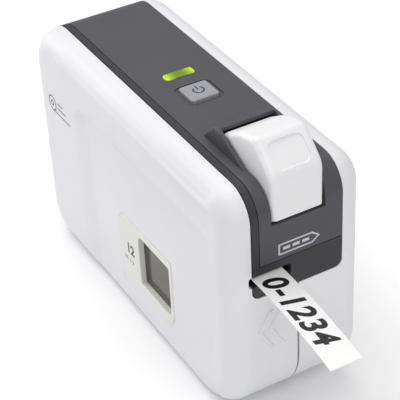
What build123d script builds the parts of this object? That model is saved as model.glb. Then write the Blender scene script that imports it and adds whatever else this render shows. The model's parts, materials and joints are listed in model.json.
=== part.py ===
from build123d import *
import math
import os

# Desktop label maker, millimetres.
# X across (the cassette side is -X), Y front to back (the label leaves at -Y), Z up.
# The origin is the middle of the flat underside.

# ---------------------------------------------------------------- casing
WIDTH = 55.0
DEPTH = 152.0
HEIGHT = 98.5
TOP_FRONT_R = 11.4        # corner radii of the side profile
TOP_BACK_R = 17.3
BOTTOM_BACK_R = 15.5
BOTTOM_FRONT_R = 24.0
EDGE_R = 8.5              # rounding between the sides and the rest
WALL = 2.0
SEAM = 0.3                # gap between neighbouring mouldings
STRIP_X = 18.0            # half width of the dark centre strip
PANEL_SEAM_X = -15.0      # seam between the frame's edge strip and the top panel
CHIN_Z = 56.6             # lower end of the dark strip on the front
CHIN_R = 3.0
PANEL_Z = 69.4            # lower end of the top panel, front and back
COVER_LIP_X = 0.3         # seam of the cassette cover on the front
BASE_TOP_Z = 16.0         # top of the base on the rear face

FRONT_Y = -DEPTH / 2
BACK_Y = DEPTH / 2
SIDE_X = WIDTH / 2
FRONT_WRAP_Y = FRONT_Y + BOTTOM_FRONT_R

# ---------------------------------------------------------------- tape, label and slot
TAPE_W = 12.0
TAPE_T = 0.2
TAPE_X = -12.0            # middle of the tape
TAPE_Z = 65.45            # upper face of the tape
TAPE_X0 = TAPE_X - TAPE_W / 2
TAPE_X1 = TAPE_X + TAPE_W / 2
LABEL_OUT = 46.5          # length of label standing out of the slot
LABEL_DROOP = 4.9
SLOT_Z0 = TAPE_Z - 3.75
SLOT_Z1 = TAPE_Z + 0.85
SLOT_RIGHT_X = TAPE_X1 + 3.3
SLOT_R = 1.0
NOTCH_X = TAPE_X0 - 1.5   # finger notch cut in the cover beside the slot

# ---------------------------------------------------------------- cutter and guide
BLADE_T = 0.6
BLADE_X0 = TAPE_X0 - 1.0
BLADE_X1 = TAPE_X1 + 1.2
BLADE_BACK_Y = FRONT_Y + 10.1    # shearing face of the moving blade
BLADE_SHEAR_GAP = 0.1
BLADE_EDGE_Z = TAPE_Z + 1.35     # lowest point of the moving blade at rest
BLADE_SLOPE = 1.4
BLADE_TOP_Z = TAPE_Z + 11.55
ANVIL_Z0 = TAPE_Z - 7.95         # foot of the fixed blade
ANVIL_H = 6.0
ANVIL_T = 1.8
GUIDE_X = BLADE_X1 + 2.6
GUIDE_Y = BLADE_BACK_Y - 1.0
GUIDE_R = 1.5
GUIDE_HUB_R = 2.9
GUIDE_FOOT_Z = TAPE_Z - 5.45
BRACKET_T = 2.0
CARRIER_Z0 = TAPE_Z + 4.75
CARRIER_Z1 = TAPE_Z + 12.05
CARRIER_T = 1.9
ARM_X0 = GUIDE_X - 2.4
ARM_X1 = GUIDE_X - 0.3
ARM_Z0 = CARRIER_Z0 + 5.9        # clears the platen's shaft at the end of the stroke
FIN_X0 = GUIDE_X + 0.2           # lever's fin, beside the arm
FIN_X1 = GUIDE_X + 2.4

# ---------------------------------------------------------------- frame
MID_X = FIN_X1 + 0.7      # left face of the upright centre wall
MID_T = 1.8
MID_X1 = MID_X + MID_T
FRAME_INSET = WALL + 0.35
RIB = 1.5                 # thickness of the bay's floor, back and roof
BAY_LEFT_X = -STRIP_X + SEAM / 2
BAY_ROOF_Z = HEIGHT - 12.5

# ---------------------------------------------------------------- cassette
CASSETTE_T = TAPE_W + 3.6
CASSETTE_Z0 = 12.0
CASSETTE_Z1 = TAPE_Z + 1.55
CASSETTE_R = 4.0
CASSETTE_WALL = 1.2
CASSETTE_GAP = 0.4        # play under and behind the cassette
CASSETTE_END_PLAY = 4.0   # from the full roll to the cassette's rear
ROLL_FROM_SPINDLE = (19.22, -14.95)   # tape roll's centre from the ribbon spindle, in Y and Z
ROLL_R = 18.0
ROLL_HUB_R = 6.0
ROLL_BORE_R = 3.0
WOUND_PLAY = 0.05

# ---------------------------------------------------------------- cover hinge and catch
HINGE_X = -STRIP_X
HINGE_Y = BACK_Y + 1.0
KNUCKLE_R = 2.2
HINGE_PIN_R = 1.0
RUNNING = 0.05            # radial clearance of a turning shaft
HINGE_LOW_Z = (20.0, 40.6)
HINGE_HIGH_Z = (HEIGHT - 42.5, HEIGHT - 21.9)
KNUCKLE_L = 6.0
KNUCKLE_GAP = 0.3
HOOK_X0 = MID_X - 4.9
HOOK_X1 = MID_X - 1.9
HOOK_Z = 33.0
HOOK_H = 6.0
HOOK_L = 1.6
CATCH_H = 5.0
CATCH_T = 0.5

# ---------------------------------------------------------------- cassette window in the cover
PLATE_Y0 = FRONT_Y + 44.0
PLATE_Y1 = PLATE_Y0 + 41.5
PLATE_Z0 = 15.5
PLATE_Z1 = 46.5
PLATE_R = 5.0
PLATE_T = 0.6
PLATE_SUNK = 1.2          # the plate's face lies this far below the cover's
PLATE_BACKING_T = 1.0
PLATE_BACKING_MARGIN = 2.0
PANE_Y0 = PLATE_Y0 + 2.0
PANE_Y1 = PANE_Y0 + 24.0
PANE_Z0 = PLATE_Z0 + 4.5
PANE_Z1 = PLATE_Z1 - 3.5
PANE_R = 3.0
COLLAR_T = 1.2
COLLAR_DEPTH = 3.6        # depth of the glass below the cover's face
GLASS_T = 1.2
PLATE_PLAY = 0.1
LEAF_CORNER_R = 0.8       # the two sharper corners of the plate and the pane

# ---------------------------------------------------------------- chevrons on the cover's front
CHEVRON_W = 1.5
CHEVRON_PROUD = 0.4
CHEVRON_H = 16.4
CHEVRON_REACH = 4.8
CHEVRON_Z = 41.0
CHEVRON_TIPS_X = (-15.6, -11.3)

# ---------------------------------------------------------------- cutter lever and hood
LEVER_X0 = -9.7
LEVER_X1 = 10.7
LEVER_WALL = 1.8
LEVER_GAP = 0.45
PIVOT_Y = FRONT_Y + 5.5
PIVOT_Z = HEIGHT - 17.0
PIVOT_PIN_R = 1.5
PIVOT_BOSS_R = 2.8
CHEEK_T = 2.2             # brackets beside the lever
SKIRT_R = 33.6            # radius of the lever's back face about its pivot
SKIRT_LOW_DEG = 8.0
LEVER_FRONT_Z = HEIGHT - 12.7    # lower edge of the lever's front
LEVER_BREAK_Z = HEIGHT + 3.9     # front edge of the thumb slope
LEVER_RIDGE_Y = FRONT_Y + 11.0
LEVER_RIDGE_Z = HEIGHT + 14.2
LEVER_BACK_Z = HEIGHT + 6.1
LEVER_BROW_R = 7.0
LEVER_RIDGE_R = 3.6
LEVER_ARCH_R = 16.0
LEVER_EDGE_R = 2.1
THUMB_W = 13.6
THUMB_L = 10.4
THUMB_DEEP = 0.6
THUMB_R = 2.6
THUMB_FLOOR_R = 0.5
THUMB_SHARE = 0.52        # how far down the slope the dish sits
OPENING_Z = HEIGHT - 13.5        # lower edge of the panel's lever opening
HOOD_BACK_Y = FRONT_Y + 41.6
HOOD_TOP_Y = FRONT_Y + 33.8
HOOD_TOP_Z = HEIGHT + 7.1
HOOD_LIP_Y = FRONT_Y + 31.7
HOOD_FRONT_Y = FRONT_Y + 14.5
HOOD_WALL = 1.4
HOOD_EDGE_R = 0.8
FOLLOWER_Y = FRONT_Y + 23.5      # pin that runs in the lever's slot
FOLLOWER_Z = PIVOT_Z - 1.5
FOLLOWER_R = 1.2
FOLLOWER_PLAY = 0.3
FOLLOWER_SLOT = 1.6              # half length of the slot
SPRING_X = 5.6
SPRING_Y = FRONT_Y + 20.0
SPRING_Z0 = HEIGHT - 14.5
SPRING_Z1 = HEIGHT - 3.5
SPRING_R = 2.4
SPRING_WIRE_R = 0.3

# ---------------------------------------------------------------- feed
PLATEN_Y = FRONT_Y + 19.0
PLATEN_R = 4.5
PLATEN_GAP = 0.05
PLATEN_X0 = TAPE_X0 - 0.5
PLATEN_X1 = TAPE_X1 + 0.5
PLATEN_SHAFT_R = 1.5
CASSETTE_Y0 = PLATEN_Y + 7.0
HEAD_GAP = 0.15
HEAD_T = 0.9
HEAD_L = 4.0
SINK_L = 6.0
SINK_H = 8.0
SINK_FINS = 3
SINK_PITCH = 2.0

MODULE = 0.8
PRESSURE_DEG = 25.0
ADDENDUM = 0.85           # in modules
DEDENDUM = 1.1
BACKLASH = 0.12
PINION_TEETH = 12
STAGE1_TEETH = 36
STAGE1_PINION_TEETH = 12
STAGE2_TEETH = 32
PLATEN_TEETH = 20
RIBBON_TEETH = 24
GEAR_W = 3.0
GEAR_GAP = 0.5
POST_R = 1.5
PLATEN_TO_STAGE2_DEG = -50.0
STAGE2_TO_STAGE1_DEG = -70.0
STAGE1_TO_MOTOR_DEG = -20.0
STAGE1_TO_RIBBON_DEG = 40.0
MOTOR_R = 10.5
MOTOR_L = 13.0
MOTOR_SHAFT_R = 1.0
MOTOR_BOSS_R = 3.0
GEAR_PLATE_T = 1.0
GEAR_PLATE_MARGIN = 4.0
STANDOFF_R = 2.2
PLATE_SCREW_R = 1.0
PLATE_SCREW_HEAD_R = 1.9
SPINDLE_R = 3.0
SPINDLE_SHAFT_R = 2.0
SPINDLE_SPLINES = 6

# ---------------------------------------------------------------- top controls
CONTROL_X = 1.1           # middle of the button and the lamp
BUTTON_Y = FRONT_Y + 66.0
BUTTON_W = 11.4
BUTTON_D = 10.8
BUTTON_PROUD = 1.0
BUTTON_R = 1.2
BUTTON_GAP = 0.25
BUTTON_TRAVEL = 0.6
FLANGE_W = 1.0            # retaining flange round the button and the lens
FLANGE_T = 0.8
RECESS_MARGIN = 1.7
RECESS_DEPTH = 0.5
LAMP_Y = BUTTON_Y + 15.0
LAMP_W = 12.2
LAMP_D = 4.4
LAMP_PROUD = 0.5
LAMP_R = 1.5
LED_X = 3.0               # each lamp's distance from the lens's middle
BUTTON_BOARD_Z = HEIGHT - 8.9
BOARD_T = 1.2
SWITCH_W = 6.0
SWITCH_H = 3.4
PLUNGER_R = 1.7
PLUNGER_SINK = 1.2        # length of the plunger inside the switch

# ---------------------------------------------------------------- electronics
MAIN_BOARD_X = SIDE_X - 4.7
MAIN_BOARD_Y = (FRONT_Y + 16.0, BACK_Y - 32.0)
MAIN_BOARD_Z = (48.0, HEIGHT - 12.5)
REAR_BOARD_Y = BACK_Y - 7.8
PORT_X = 8.0
PORT_Z = PANEL_Z + 6.6
PORT_W = 7.8
PORT_H = 4.0
PORT_L = 7.4
PORT_WALL = 0.4
MODE_X = -6.0
MODE_KNOB_W = 3.0
MODE_KNOB_H = 2.2
MODE_TRAVEL = 2.4
MODE_BODY_W = 9.0

# ---------------------------------------------------------------- batteries and their door
CELL_R = 5.25
CELL_L = 44.5
CELL_PITCH = 2 * CELL_R + 0.7
CELL_X = 1.4              # middle of the three columns
CELL_CAP_R = 1.9
TRAY_WALL = 1.2
TRAY_PLAY = 0.4
TRAY_Y0 = BACK_Y - WALL - 4 * CELL_R - 5.0
TRAY_Z0 = BASE_TOP_Z + 4.4
CONTACT_SPACE = 1.0       # height of the contacts at each end of a cell
CONTACT_W = 7.0
GRIP_RIBS = 3

# ---------------------------------------------------------------- fastenings and pads
SCREW_R = 1.3
SCREW_HEAD_R = 2.5
SCREW_HEAD_H = 1.6
BOSS_R = 3.6
SCREW_YZ = (
    (FRONT_Y + 14.0, 24.0),
    (BACK_Y - 36.0, 12.0),
    (BACK_Y - 16.0, HEIGHT - 10.5),
    (FRONT_Y + 51.0, HEIGHT - 7.5),
)
PAD_R = 4.0
PAD_T = 0.8
PAD_XY = ((-12.0, FRONT_Y + 34.0), (14.0, FRONT_Y + 34.0), (-12.0, BACK_Y - 22.0), (14.0, BACK_Y - 22.0))


# ================================================================ helpers
def block(x0, x1, y0, y1, z0, z1):
    """Rectangular solid between two corners."""
    centre = Pos((x0 + x1) / 2, (y0 + y1) / 2, (z0 + z1) / 2)
    return centre * Box(x1 - x0, y1 - y0, z1 - z0)


def rod_x(y, z, radius, x0, x1):
    """Round bar along X."""
    start = Plane(origin=(x0, y, z), x_dir=(0, 1, 0), z_dir=(1, 0, 0))
    return start * Cylinder(radius, x1 - x0, align=(Align.CENTER, Align.CENTER, Align.MIN))


def rod_z(x, y, radius, z0, z1):
    """Round bar along Z."""
    return Pos(x, y, z0) * Cylinder(radius, z1 - z0, align=(Align.CENTER, Align.CENTER, Align.MIN))


def side_plate(outline, x0, x1):
    """Extrude an outline drawn in (y, z) from x0 to x1."""
    start = Plane(origin=(x0, 0, 0), x_dir=(0, 1, 0), z_dir=(1, 0, 0))
    return extrude(start * outline, amount=x1 - x0)


def rounded(points, radii):
    """Face inside a closed polygon whose corners have the given radii."""
    return make_face(FilletPolyline(*points, radius=radii, close=True))


def rectangle_yz(y0, y1, z0, z1, radii):
    """Rectangle in (y, z); radii start at the lower front corner and run anticlockwise seen from +X."""
    return rounded([(y0, z0), (y1, z0), (y1, z1), (y0, z1)], radii)


def body_outline(inset):
    """Side profile of the casing, set in by a distance."""
    radii = [BOTTOM_FRONT_R, BOTTOM_BACK_R, TOP_BACK_R, TOP_FRONT_R]
    return rectangle_yz(
        FRONT_Y + inset, BACK_Y - inset, inset, HEIGHT - inset, [r - inset for r in radii]
    )


def body_block(inset):
    """The casing's whole rounded volume, set in by a distance."""
    solid = side_plate(body_outline(inset), -SIDE_X + inset, SIDE_X - inset)
    by_x = solid.edges().group_by(Axis.X)
    return fillet(by_x[0] + by_x[-1], EDGE_R - inset)


def polar(centre, radius, degrees):
    """Point in (y, z) at a distance and angle from a centre."""
    angle = math.radians(degrees)
    return (centre[0] + radius * math.cos(angle), centre[1] + radius * math.sin(angle))


def thumb_place():
    """Middle and tilt of the lever's thumb slope."""
    dy = FRONT_Y - LEVER_RIDGE_Y
    dz = LEVER_BREAK_Z - LEVER_RIDGE_Z
    middle_y = LEVER_RIDGE_Y + dy * THUMB_SHARE
    middle_z = LEVER_RIDGE_Z + dz * THUMB_SHARE
    return middle_y, middle_z, dy, dz


# ================================================================ gears
def gear_centre(start, teeth_a, teeth_b, degrees):
    """Axis of a gear in mesh with another, in a given direction."""
    return polar(start, MODULE * (teeth_a + teeth_b) / 2, degrees)


def meshing_angle(teeth_a, angle_a, teeth_b, direction):
    """Tooth angle that lets gear b mesh with gear a, which lies in the opposite direction."""
    return direction + 180 + 180 / teeth_b - (angle_a - direction) * teeth_a / teeth_b


def gear_face(teeth, tooth_angle):
    """Involute gear outline about the origin with one tooth centred on tooth_angle."""
    pitch_r = MODULE * teeth / 2
    base_r = pitch_r * math.cos(math.radians(PRESSURE_DEG))
    tip_r = pitch_r + ADDENDUM * MODULE
    root_r = pitch_r - DEDENDUM * MODULE
    start_r = max(base_r, root_r)

    def involute(radius):
        return math.degrees(math.sqrt((radius / base_r) ** 2 - 1) - math.acos(base_r / radius))

    half_pitch = math.degrees((math.pi * MODULE / 2 - BACKLASH) / 2 / pitch_r)

    def half_angle(radius):
        return half_pitch + involute(pitch_r) - involute(radius)

    steps = 4
    radii = [start_r + (tip_r - start_r) * i / steps for i in range(steps + 1)]
    step = 360 / teeth
    edges = []
    for i in range(teeth):
        middle = tooth_angle + i * step
        rise = [polar((0, 0), r, middle - half_angle(r)) for r in radii]
        fall = [polar((0, 0), r, middle + half_angle(r)) for r in reversed(radii)]
        foot = half_angle(start_r)
        if root_r < start_r:
            edges.append(Line(polar((0, 0), root_r, middle - foot), rise[0]))
        edges.append(Spline(*rise))
        edges.append(ThreePointArc(rise[-1], polar((0, 0), tip_r, middle), fall[0]))
        edges.append(Spline(*fall))
        if root_r < start_r:
            edges.append(Line(fall[-1], polar((0, 0), root_r, middle + foot)))
        edges.append(
            ThreePointArc(
                polar((0, 0), root_r, middle + foot),
                polar((0, 0), root_r, middle + step / 2),
                polar((0, 0), root_r, middle + step - foot),
            )
        )
    return make_face(edges)


def gear(teeth, tooth_angle, centre, x0, bore_r):
    """Spur gear about an axis along X."""
    place = Plane(origin=(x0, centre[0], centre[1]), x_dir=(0, 1, 0), z_dir=(1, 0, 0))
    solid = extrude(place * gear_face(teeth, tooth_angle), amount=GEAR_W)
    return solid - rod_x(centre[0], centre[1], bore_r, x0 - 1, x0 + GEAR_W + 1)


# ================================================================ shared places
LAYER1_X = MID_X1 + GEAR_GAP
LAYER2_X = LAYER1_X + GEAR_W + GEAR_GAP
GEAR_PLATE_X = LAYER2_X + GEAR_W + GEAR_GAP
PLATEN = (PLATEN_Y, TAPE_Z + PLATEN_GAP + PLATEN_R)
STAGE2 = gear_centre(PLATEN, PLATEN_TEETH, STAGE2_TEETH, PLATEN_TO_STAGE2_DEG)
STAGE1 = gear_centre(STAGE2, STAGE2_TEETH, STAGE1_PINION_TEETH, STAGE2_TO_STAGE1_DEG)
MOTOR = gear_centre(STAGE1, STAGE1_TEETH, PINION_TEETH, STAGE1_TO_MOTOR_DEG)
RIBBON = gear_centre(STAGE1, STAGE1_TEETH, RIBBON_TEETH, STAGE1_TO_RIBBON_DEG)

STAGE1_ANGLE = 0.0
MOTOR_ANGLE = meshing_angle(STAGE1_TEETH, STAGE1_ANGLE, PINION_TEETH, STAGE1_TO_MOTOR_DEG)
RIBBON_ANGLE = meshing_angle(STAGE1_TEETH, STAGE1_ANGLE, RIBBON_TEETH, STAGE1_TO_RIBBON_DEG)
STAGE2_ANGLE = meshing_angle(
    STAGE1_PINION_TEETH, STAGE1_ANGLE, STAGE2_TEETH, STAGE2_TO_STAGE1_DEG + 180
)
PLATEN_ANGLE = meshing_angle(
    STAGE2_TEETH, STAGE2_ANGLE, PLATEN_TEETH, PLATEN_TO_STAGE2_DEG + 180
)

CASSETTE_X0 = TAPE_X - CASSETTE_T / 2
CASSETTE_X1 = TAPE_X + CASSETTE_T / 2
ROLL_Y = RIBBON[0] + ROLL_FROM_SPINDLE[0]
ROLL_Z = RIBBON[1] + ROLL_FROM_SPINDLE[1]
CASSETTE_Y1 = ROLL_Y + ROLL_R + CASSETTE_END_PLAY
HOLE_PLAY = 1.2           # room round the spindle in the cassette
TRAY_X0 = CELL_X - CELL_PITCH - CELL_R - TRAY_PLAY - TRAY_WALL
TRAY_X1 = CELL_X + CELL_PITCH + CELL_R + TRAY_PLAY + TRAY_WALL
TRAY_Y1 = BACK_Y - WALL - SEAM
TRAY_Z1 = TRAY_Z0 + 2 * TRAY_WALL + 2 * CONTACT_SPACE + CELL_L
CELL_ROWS_Y = (TRAY_Y0 + TRAY_WALL + CELL_R + 0.2, TRAY_Y0 + TRAY_WALL + 3 * CELL_R + 0.6)
BUTTON_FLANGE_Z = HEIGHT - WALL - SEAM
LEVER_LEFT = LEVER_X0 - LEVER_GAP
LEVER_RIGHT = LEVER_X1 + LEVER_GAP
GUIDE_TOP_Z = FOLLOWER_Z + BRACKET_T + 0.1
BUTTON_BOARD_Y = (BUTTON_Y - 9.0, LAMP_Y + 8.0)


# ================================================================ casing zones
def front_zone(grow):
    """Dark zone on the front, rounded at its lower corners, running up past the top."""
    edge = STRIP_X + grow
    low = CHIN_Z - grow
    corners = [(-edge, low), (edge, low), (edge, HEIGHT + 20), (-edge, HEIGHT + 20)]
    face = rounded(corners, [CHIN_R + grow, CHIN_R + grow, 0, 0])
    start = Plane(origin=(0, FRONT_WRAP_Y, 0), x_dir=(1, 0, 0), z_dir=(0, -1, 0))
    return extrude(start * face, amount=BOTTOM_FRONT_R + 10)


def casing_shell():
    return body_block(0) - body_block(WALL)


SHELL = casing_shell()
HALF_SEAM = SEAM / 2
FAR = 200.0               # reaches past the whole object
PLATE_SEAT_X = -SIDE_X + PLATE_SUNK + PLATE_T


def tape_slot_cut():
    """The slot for the label, with the notch that runs on into the cover."""
    corners = [
        (NOTCH_X, SLOT_Z0), (SLOT_RIGHT_X, SLOT_Z0), (SLOT_RIGHT_X, SLOT_Z1), (NOTCH_X, SLOT_Z1)
    ]
    face = rounded(corners, [SLOT_R] * 4)
    start = Plane(origin=(0, FRONT_Y + WALL + 1, 0), x_dir=(1, 0, 0), z_dir=(0, -1, 0))
    return extrude(start * face, amount=WALL + 2)


def knuckle_spans(low, high):
    """Heights of the two frame knuckles and the cover knuckle between them."""
    first = (low, low + KNUCKLE_L)
    last = (high - KNUCKLE_L, high)
    middle = (first[1] + KNUCKLE_GAP, last[0] - KNUCKLE_GAP)
    return [first, last], middle


def knuckle(side, z0, z1):
    """Hinge barrel joined to the wall on one side of the seam: side is -1 for the cover, +1 for the frame."""
    inner = HINGE_X + side * HALF_SEAM
    outer = HINGE_X + side * (KNUCKLE_R + 0.6)
    web = block(min(inner, outer), max(inner, outer), BACK_Y - WALL + 0.2, HINGE_Y + 0.6, z0, z1)
    return rod_z(HINGE_X, HINGE_Y, KNUCKLE_R, z0, z1) + web


def knuckle_relief(z0, z1):
    return rod_z(
        HINGE_X, HINGE_Y, KNUCKLE_R + KNUCKLE_GAP + 0.1, z0 - KNUCKLE_GAP, z1 + KNUCKLE_GAP
    )


# ================================================================ cassette cover
def chevron(tip_x):
    """One '<' rib standing on the cover's front."""
    half = CHEVRON_H / 2
    path = Polyline(
        (tip_x + CHEVRON_REACH, CHEVRON_Z + half),
        (tip_x, CHEVRON_Z),
        (tip_x + CHEVRON_REACH, CHEVRON_Z - half),
    )
    face = trace(path, line_width=CHEVRON_W)
    start = Plane(origin=(0, FRONT_Y + 0.3, 0), x_dir=(1, 0, 0), z_dir=(0, -1, 0))
    return extrude(start * face, amount=CHEVRON_PROUD + 0.3)


def leaf(y0, y1, z0, z1, radius, grow):
    """Rectangle with two opposite corners well rounded and two nearly square."""
    radii = [radius + grow, LEAF_CORNER_R, radius + grow, LEAF_CORNER_R]
    return rectangle_yz(y0 - grow, y1 + grow, z0 - grow, z1 + grow, radii)


def cassette_cover():
    zone = block(-FAR, -STRIP_X - HALF_SEAM, -FAR, FAR, -FAR, FAR)
    lip = block(
        -FAR, COVER_LIP_X - HALF_SEAM, -FAR, FRONT_WRAP_Y - HALF_SEAM, -FAR, FAR
    ) - front_zone(HALF_SEAM)
    cover = SHELL & (zone + lip)
    cover -= tape_slot_cut()
    for tip_x in CHEVRON_TIPS_X:
        cover += chevron(tip_x)
    backing = leaf(PLATE_Y0, PLATE_Y1, PLATE_Z0, PLATE_Z1, PLATE_R, PLATE_BACKING_MARGIN)
    cover += side_plate(backing, -SIDE_X + WALL - 0.1, PLATE_SEAT_X + PLATE_BACKING_T)
    recess = leaf(PLATE_Y0, PLATE_Y1, PLATE_Z0, PLATE_Z1, PLATE_R, PLATE_PLAY)
    cover -= side_plate(recess, -SIDE_X - 1, PLATE_SEAT_X)
    through = leaf(PANE_Y0, PANE_Y1, PANE_Z0, PANE_Z1, PANE_R, COLLAR_T + PLATE_PLAY)
    cover -= side_plate(through, -SIDE_X - 1, -SIDE_X + WALL + 2)
    inner_y = FRONT_Y + WALL
    half_hook = HOOK_H / 2
    cover += block(HOOK_X0, HOOK_X1, inner_y - 0.2, inner_y + HOOK_L, HOOK_Z - half_hook, HOOK_Z + half_hook)
    for low, high in (HINGE_LOW_Z, HINGE_HIGH_Z):
        frame_spans, cover_span = knuckle_spans(low, high)
        for z0, z1 in frame_spans:
            cover -= knuckle_relief(z0, z1)
        cover += knuckle(-1, *cover_span)
        cover -= rod_z(HINGE_X, HINGE_Y, HINGE_PIN_R + RUNNING, low - 1, high + 1)
    return cover


def cover_hinge_pins():
    spans = (HINGE_LOW_Z, HINGE_HIGH_Z)
    return [rod_z(HINGE_X, HINGE_Y, HINGE_PIN_R, low, high) for low, high in spans]


def window_plate():
    front_x = -SIDE_X + PLATE_SUNK
    flange = side_plate(leaf(PLATE_Y0, PLATE_Y1, PLATE_Z0, PLATE_Z1, PLATE_R, 0), front_x, PLATE_SEAT_X)
    collar = side_plate(
        leaf(PANE_Y0, PANE_Y1, PANE_Z0, PANE_Z1, PANE_R, COLLAR_T), front_x, -SIDE_X + COLLAR_DEPTH
    )
    hole = side_plate(leaf(PANE_Y0, PANE_Y1, PANE_Z0, PANE_Z1, PANE_R, 0), -FAR, 0)
    return flange + collar - hole


def cassette_window():
    outline = leaf(PANE_Y0, PANE_Y1, PANE_Z0, PANE_Z1, PANE_R, COLLAR_T)
    start_x = -SIDE_X + COLLAR_DEPTH
    return side_plate(outline, start_x, start_x + GLASS_T)


# ================================================================ right housing and base
def screw_boss(y, z):
    return rod_x(y, z, BOSS_R, MID_X1 + 2.0, SIDE_X - WALL + 0.2)


def right_housing():
    edge = STRIP_X + HALF_SEAM
    side = block(edge, FAR, -FAR, FAR, -FAR, FAR)
    chin = block(
        COVER_LIP_X + HALF_SEAM, FAR, -FAR, FRONT_WRAP_Y, -FAR, FAR
    ) - front_zone(HALF_SEAM)
    chin += block(
        COVER_LIP_X + HALF_SEAM, FAR, FRONT_WRAP_Y - 1, FRONT_WRAP_Y + 1, -FAR, BASE_TOP_Z
    )
    base = block(
        -STRIP_X + HALF_SEAM, FAR, FRONT_WRAP_Y + HALF_SEAM, FAR, -FAR, BASE_TOP_Z - HALF_SEAM
    )
    housing = SHELL & (side + chin + base)
    for y, z in SCREW_YZ:
        housing += screw_boss(y, z)
        housing -= rod_x(y, z, SCREW_R, MID_X1, SIDE_X - WALL)
        housing -= rod_x(y, z, SCREW_HEAD_R + 0.3, SIDE_X - WALL, SIDE_X + 1)
    for x, y in PAD_XY:
        housing -= rod_z(x, y, PAD_R, -1, PAD_T)
    return housing


def base_pads():
    return [rod_z(x, y, PAD_R, 0, PAD_T) for x, y in PAD_XY]


def housing_screws():
    """Self-tapping screws with their heads sunk in the right side."""
    screws = []
    head_x = SIDE_X - WALL
    for y, z in SCREW_YZ:
        shank = rod_x(y, z, SCREW_R, MID_X, head_x)
        head = rod_x(y, z, SCREW_HEAD_R, head_x, head_x + SCREW_HEAD_H)
        slot_x = head_x + SCREW_HEAD_H - 0.8
        slot = block(slot_x, slot_x + 2, y - 0.4, y + 0.4, z - 1.6, z + 1.6)
        cross = block(slot_x, slot_x + 2, y - 1.6, y + 1.6, z - 0.4, z + 0.4)
        screws.append(shank + head - slot - cross)
    return screws


# ================================================================ main frame
def centre_wall():
    """Upright wall that carries the works, cut clear of the lever and the battery tray."""
    wall = side_plate(body_outline(FRAME_INSET), MID_X, MID_X1)
    wall -= block(-FAR, FAR, -FAR, HOOD_BACK_Y, LEVER_FRONT_Z + 0.4, FAR)
    wall -= block(-FAR, FAR, PIVOT_Y + SKIRT_R - 5.0, HOOD_BACK_Y, PIVOT_Z - 4.0, FAR)
    wall -= block(-FAR, FAR, TRAY_Y0 - SEAM, FAR, TRAY_Z0 - SEAM, HEIGHT - 12.0)
    wall -= block(-FAR, FAR, BUTTON_BOARD_Y[0] - 1.0, BUTTON_BOARD_Y[1] + 1.0, BUTTON_BOARD_Z - 1.6, FAR)
    return wall


def bay():
    """Floor, back and roof of the cassette bay."""
    floor_z = CASSETTE_Z0 - CASSETTE_GAP
    back_y = CASSETTE_Y1 + CASSETTE_GAP
    roof_end_y = TRAY_Y0 - 4.0
    right_x = MID_X + 0.2
    floor = block(BAY_LEFT_X, right_x, CASSETTE_Y0, back_y + RIB, floor_z - RIB, floor_z)
    back = block(BAY_LEFT_X, right_x, back_y, back_y + RIB, floor_z - RIB, BAY_ROOF_Z + 1.0)
    roof = block(BAY_LEFT_X, right_x, HOOD_BACK_Y + 4.4, roof_end_y, BAY_ROOF_Z, BAY_ROOF_Z + RIB)
    hanger = block(
        BAY_LEFT_X, PANEL_SEAM_X - HALF_SEAM, roof_end_y - 28.0, roof_end_y, BAY_ROOF_Z, HEIGHT - WALL + 0.2
    )
    return floor + back + roof + hanger


def pivot_cheek(x0, x1):
    """Bracket that holds one end of the lever's pivot pin."""
    foot = block(x0, x1, FRONT_Y + WALL - 0.2, PIVOT_Y + 4.0, CHIN_Z + 2.0, PANEL_Z - 2.0)
    web = block(x0, x1, FRONT_Y + WALL + 0.4, PIVOT_Y + 4.0, CHIN_Z + 2.0, PIVOT_Z)
    eye = rod_x(PIVOT_Y, PIVOT_Z, PIVOT_BOSS_R, x0, x1)
    return foot + web + eye


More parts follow.
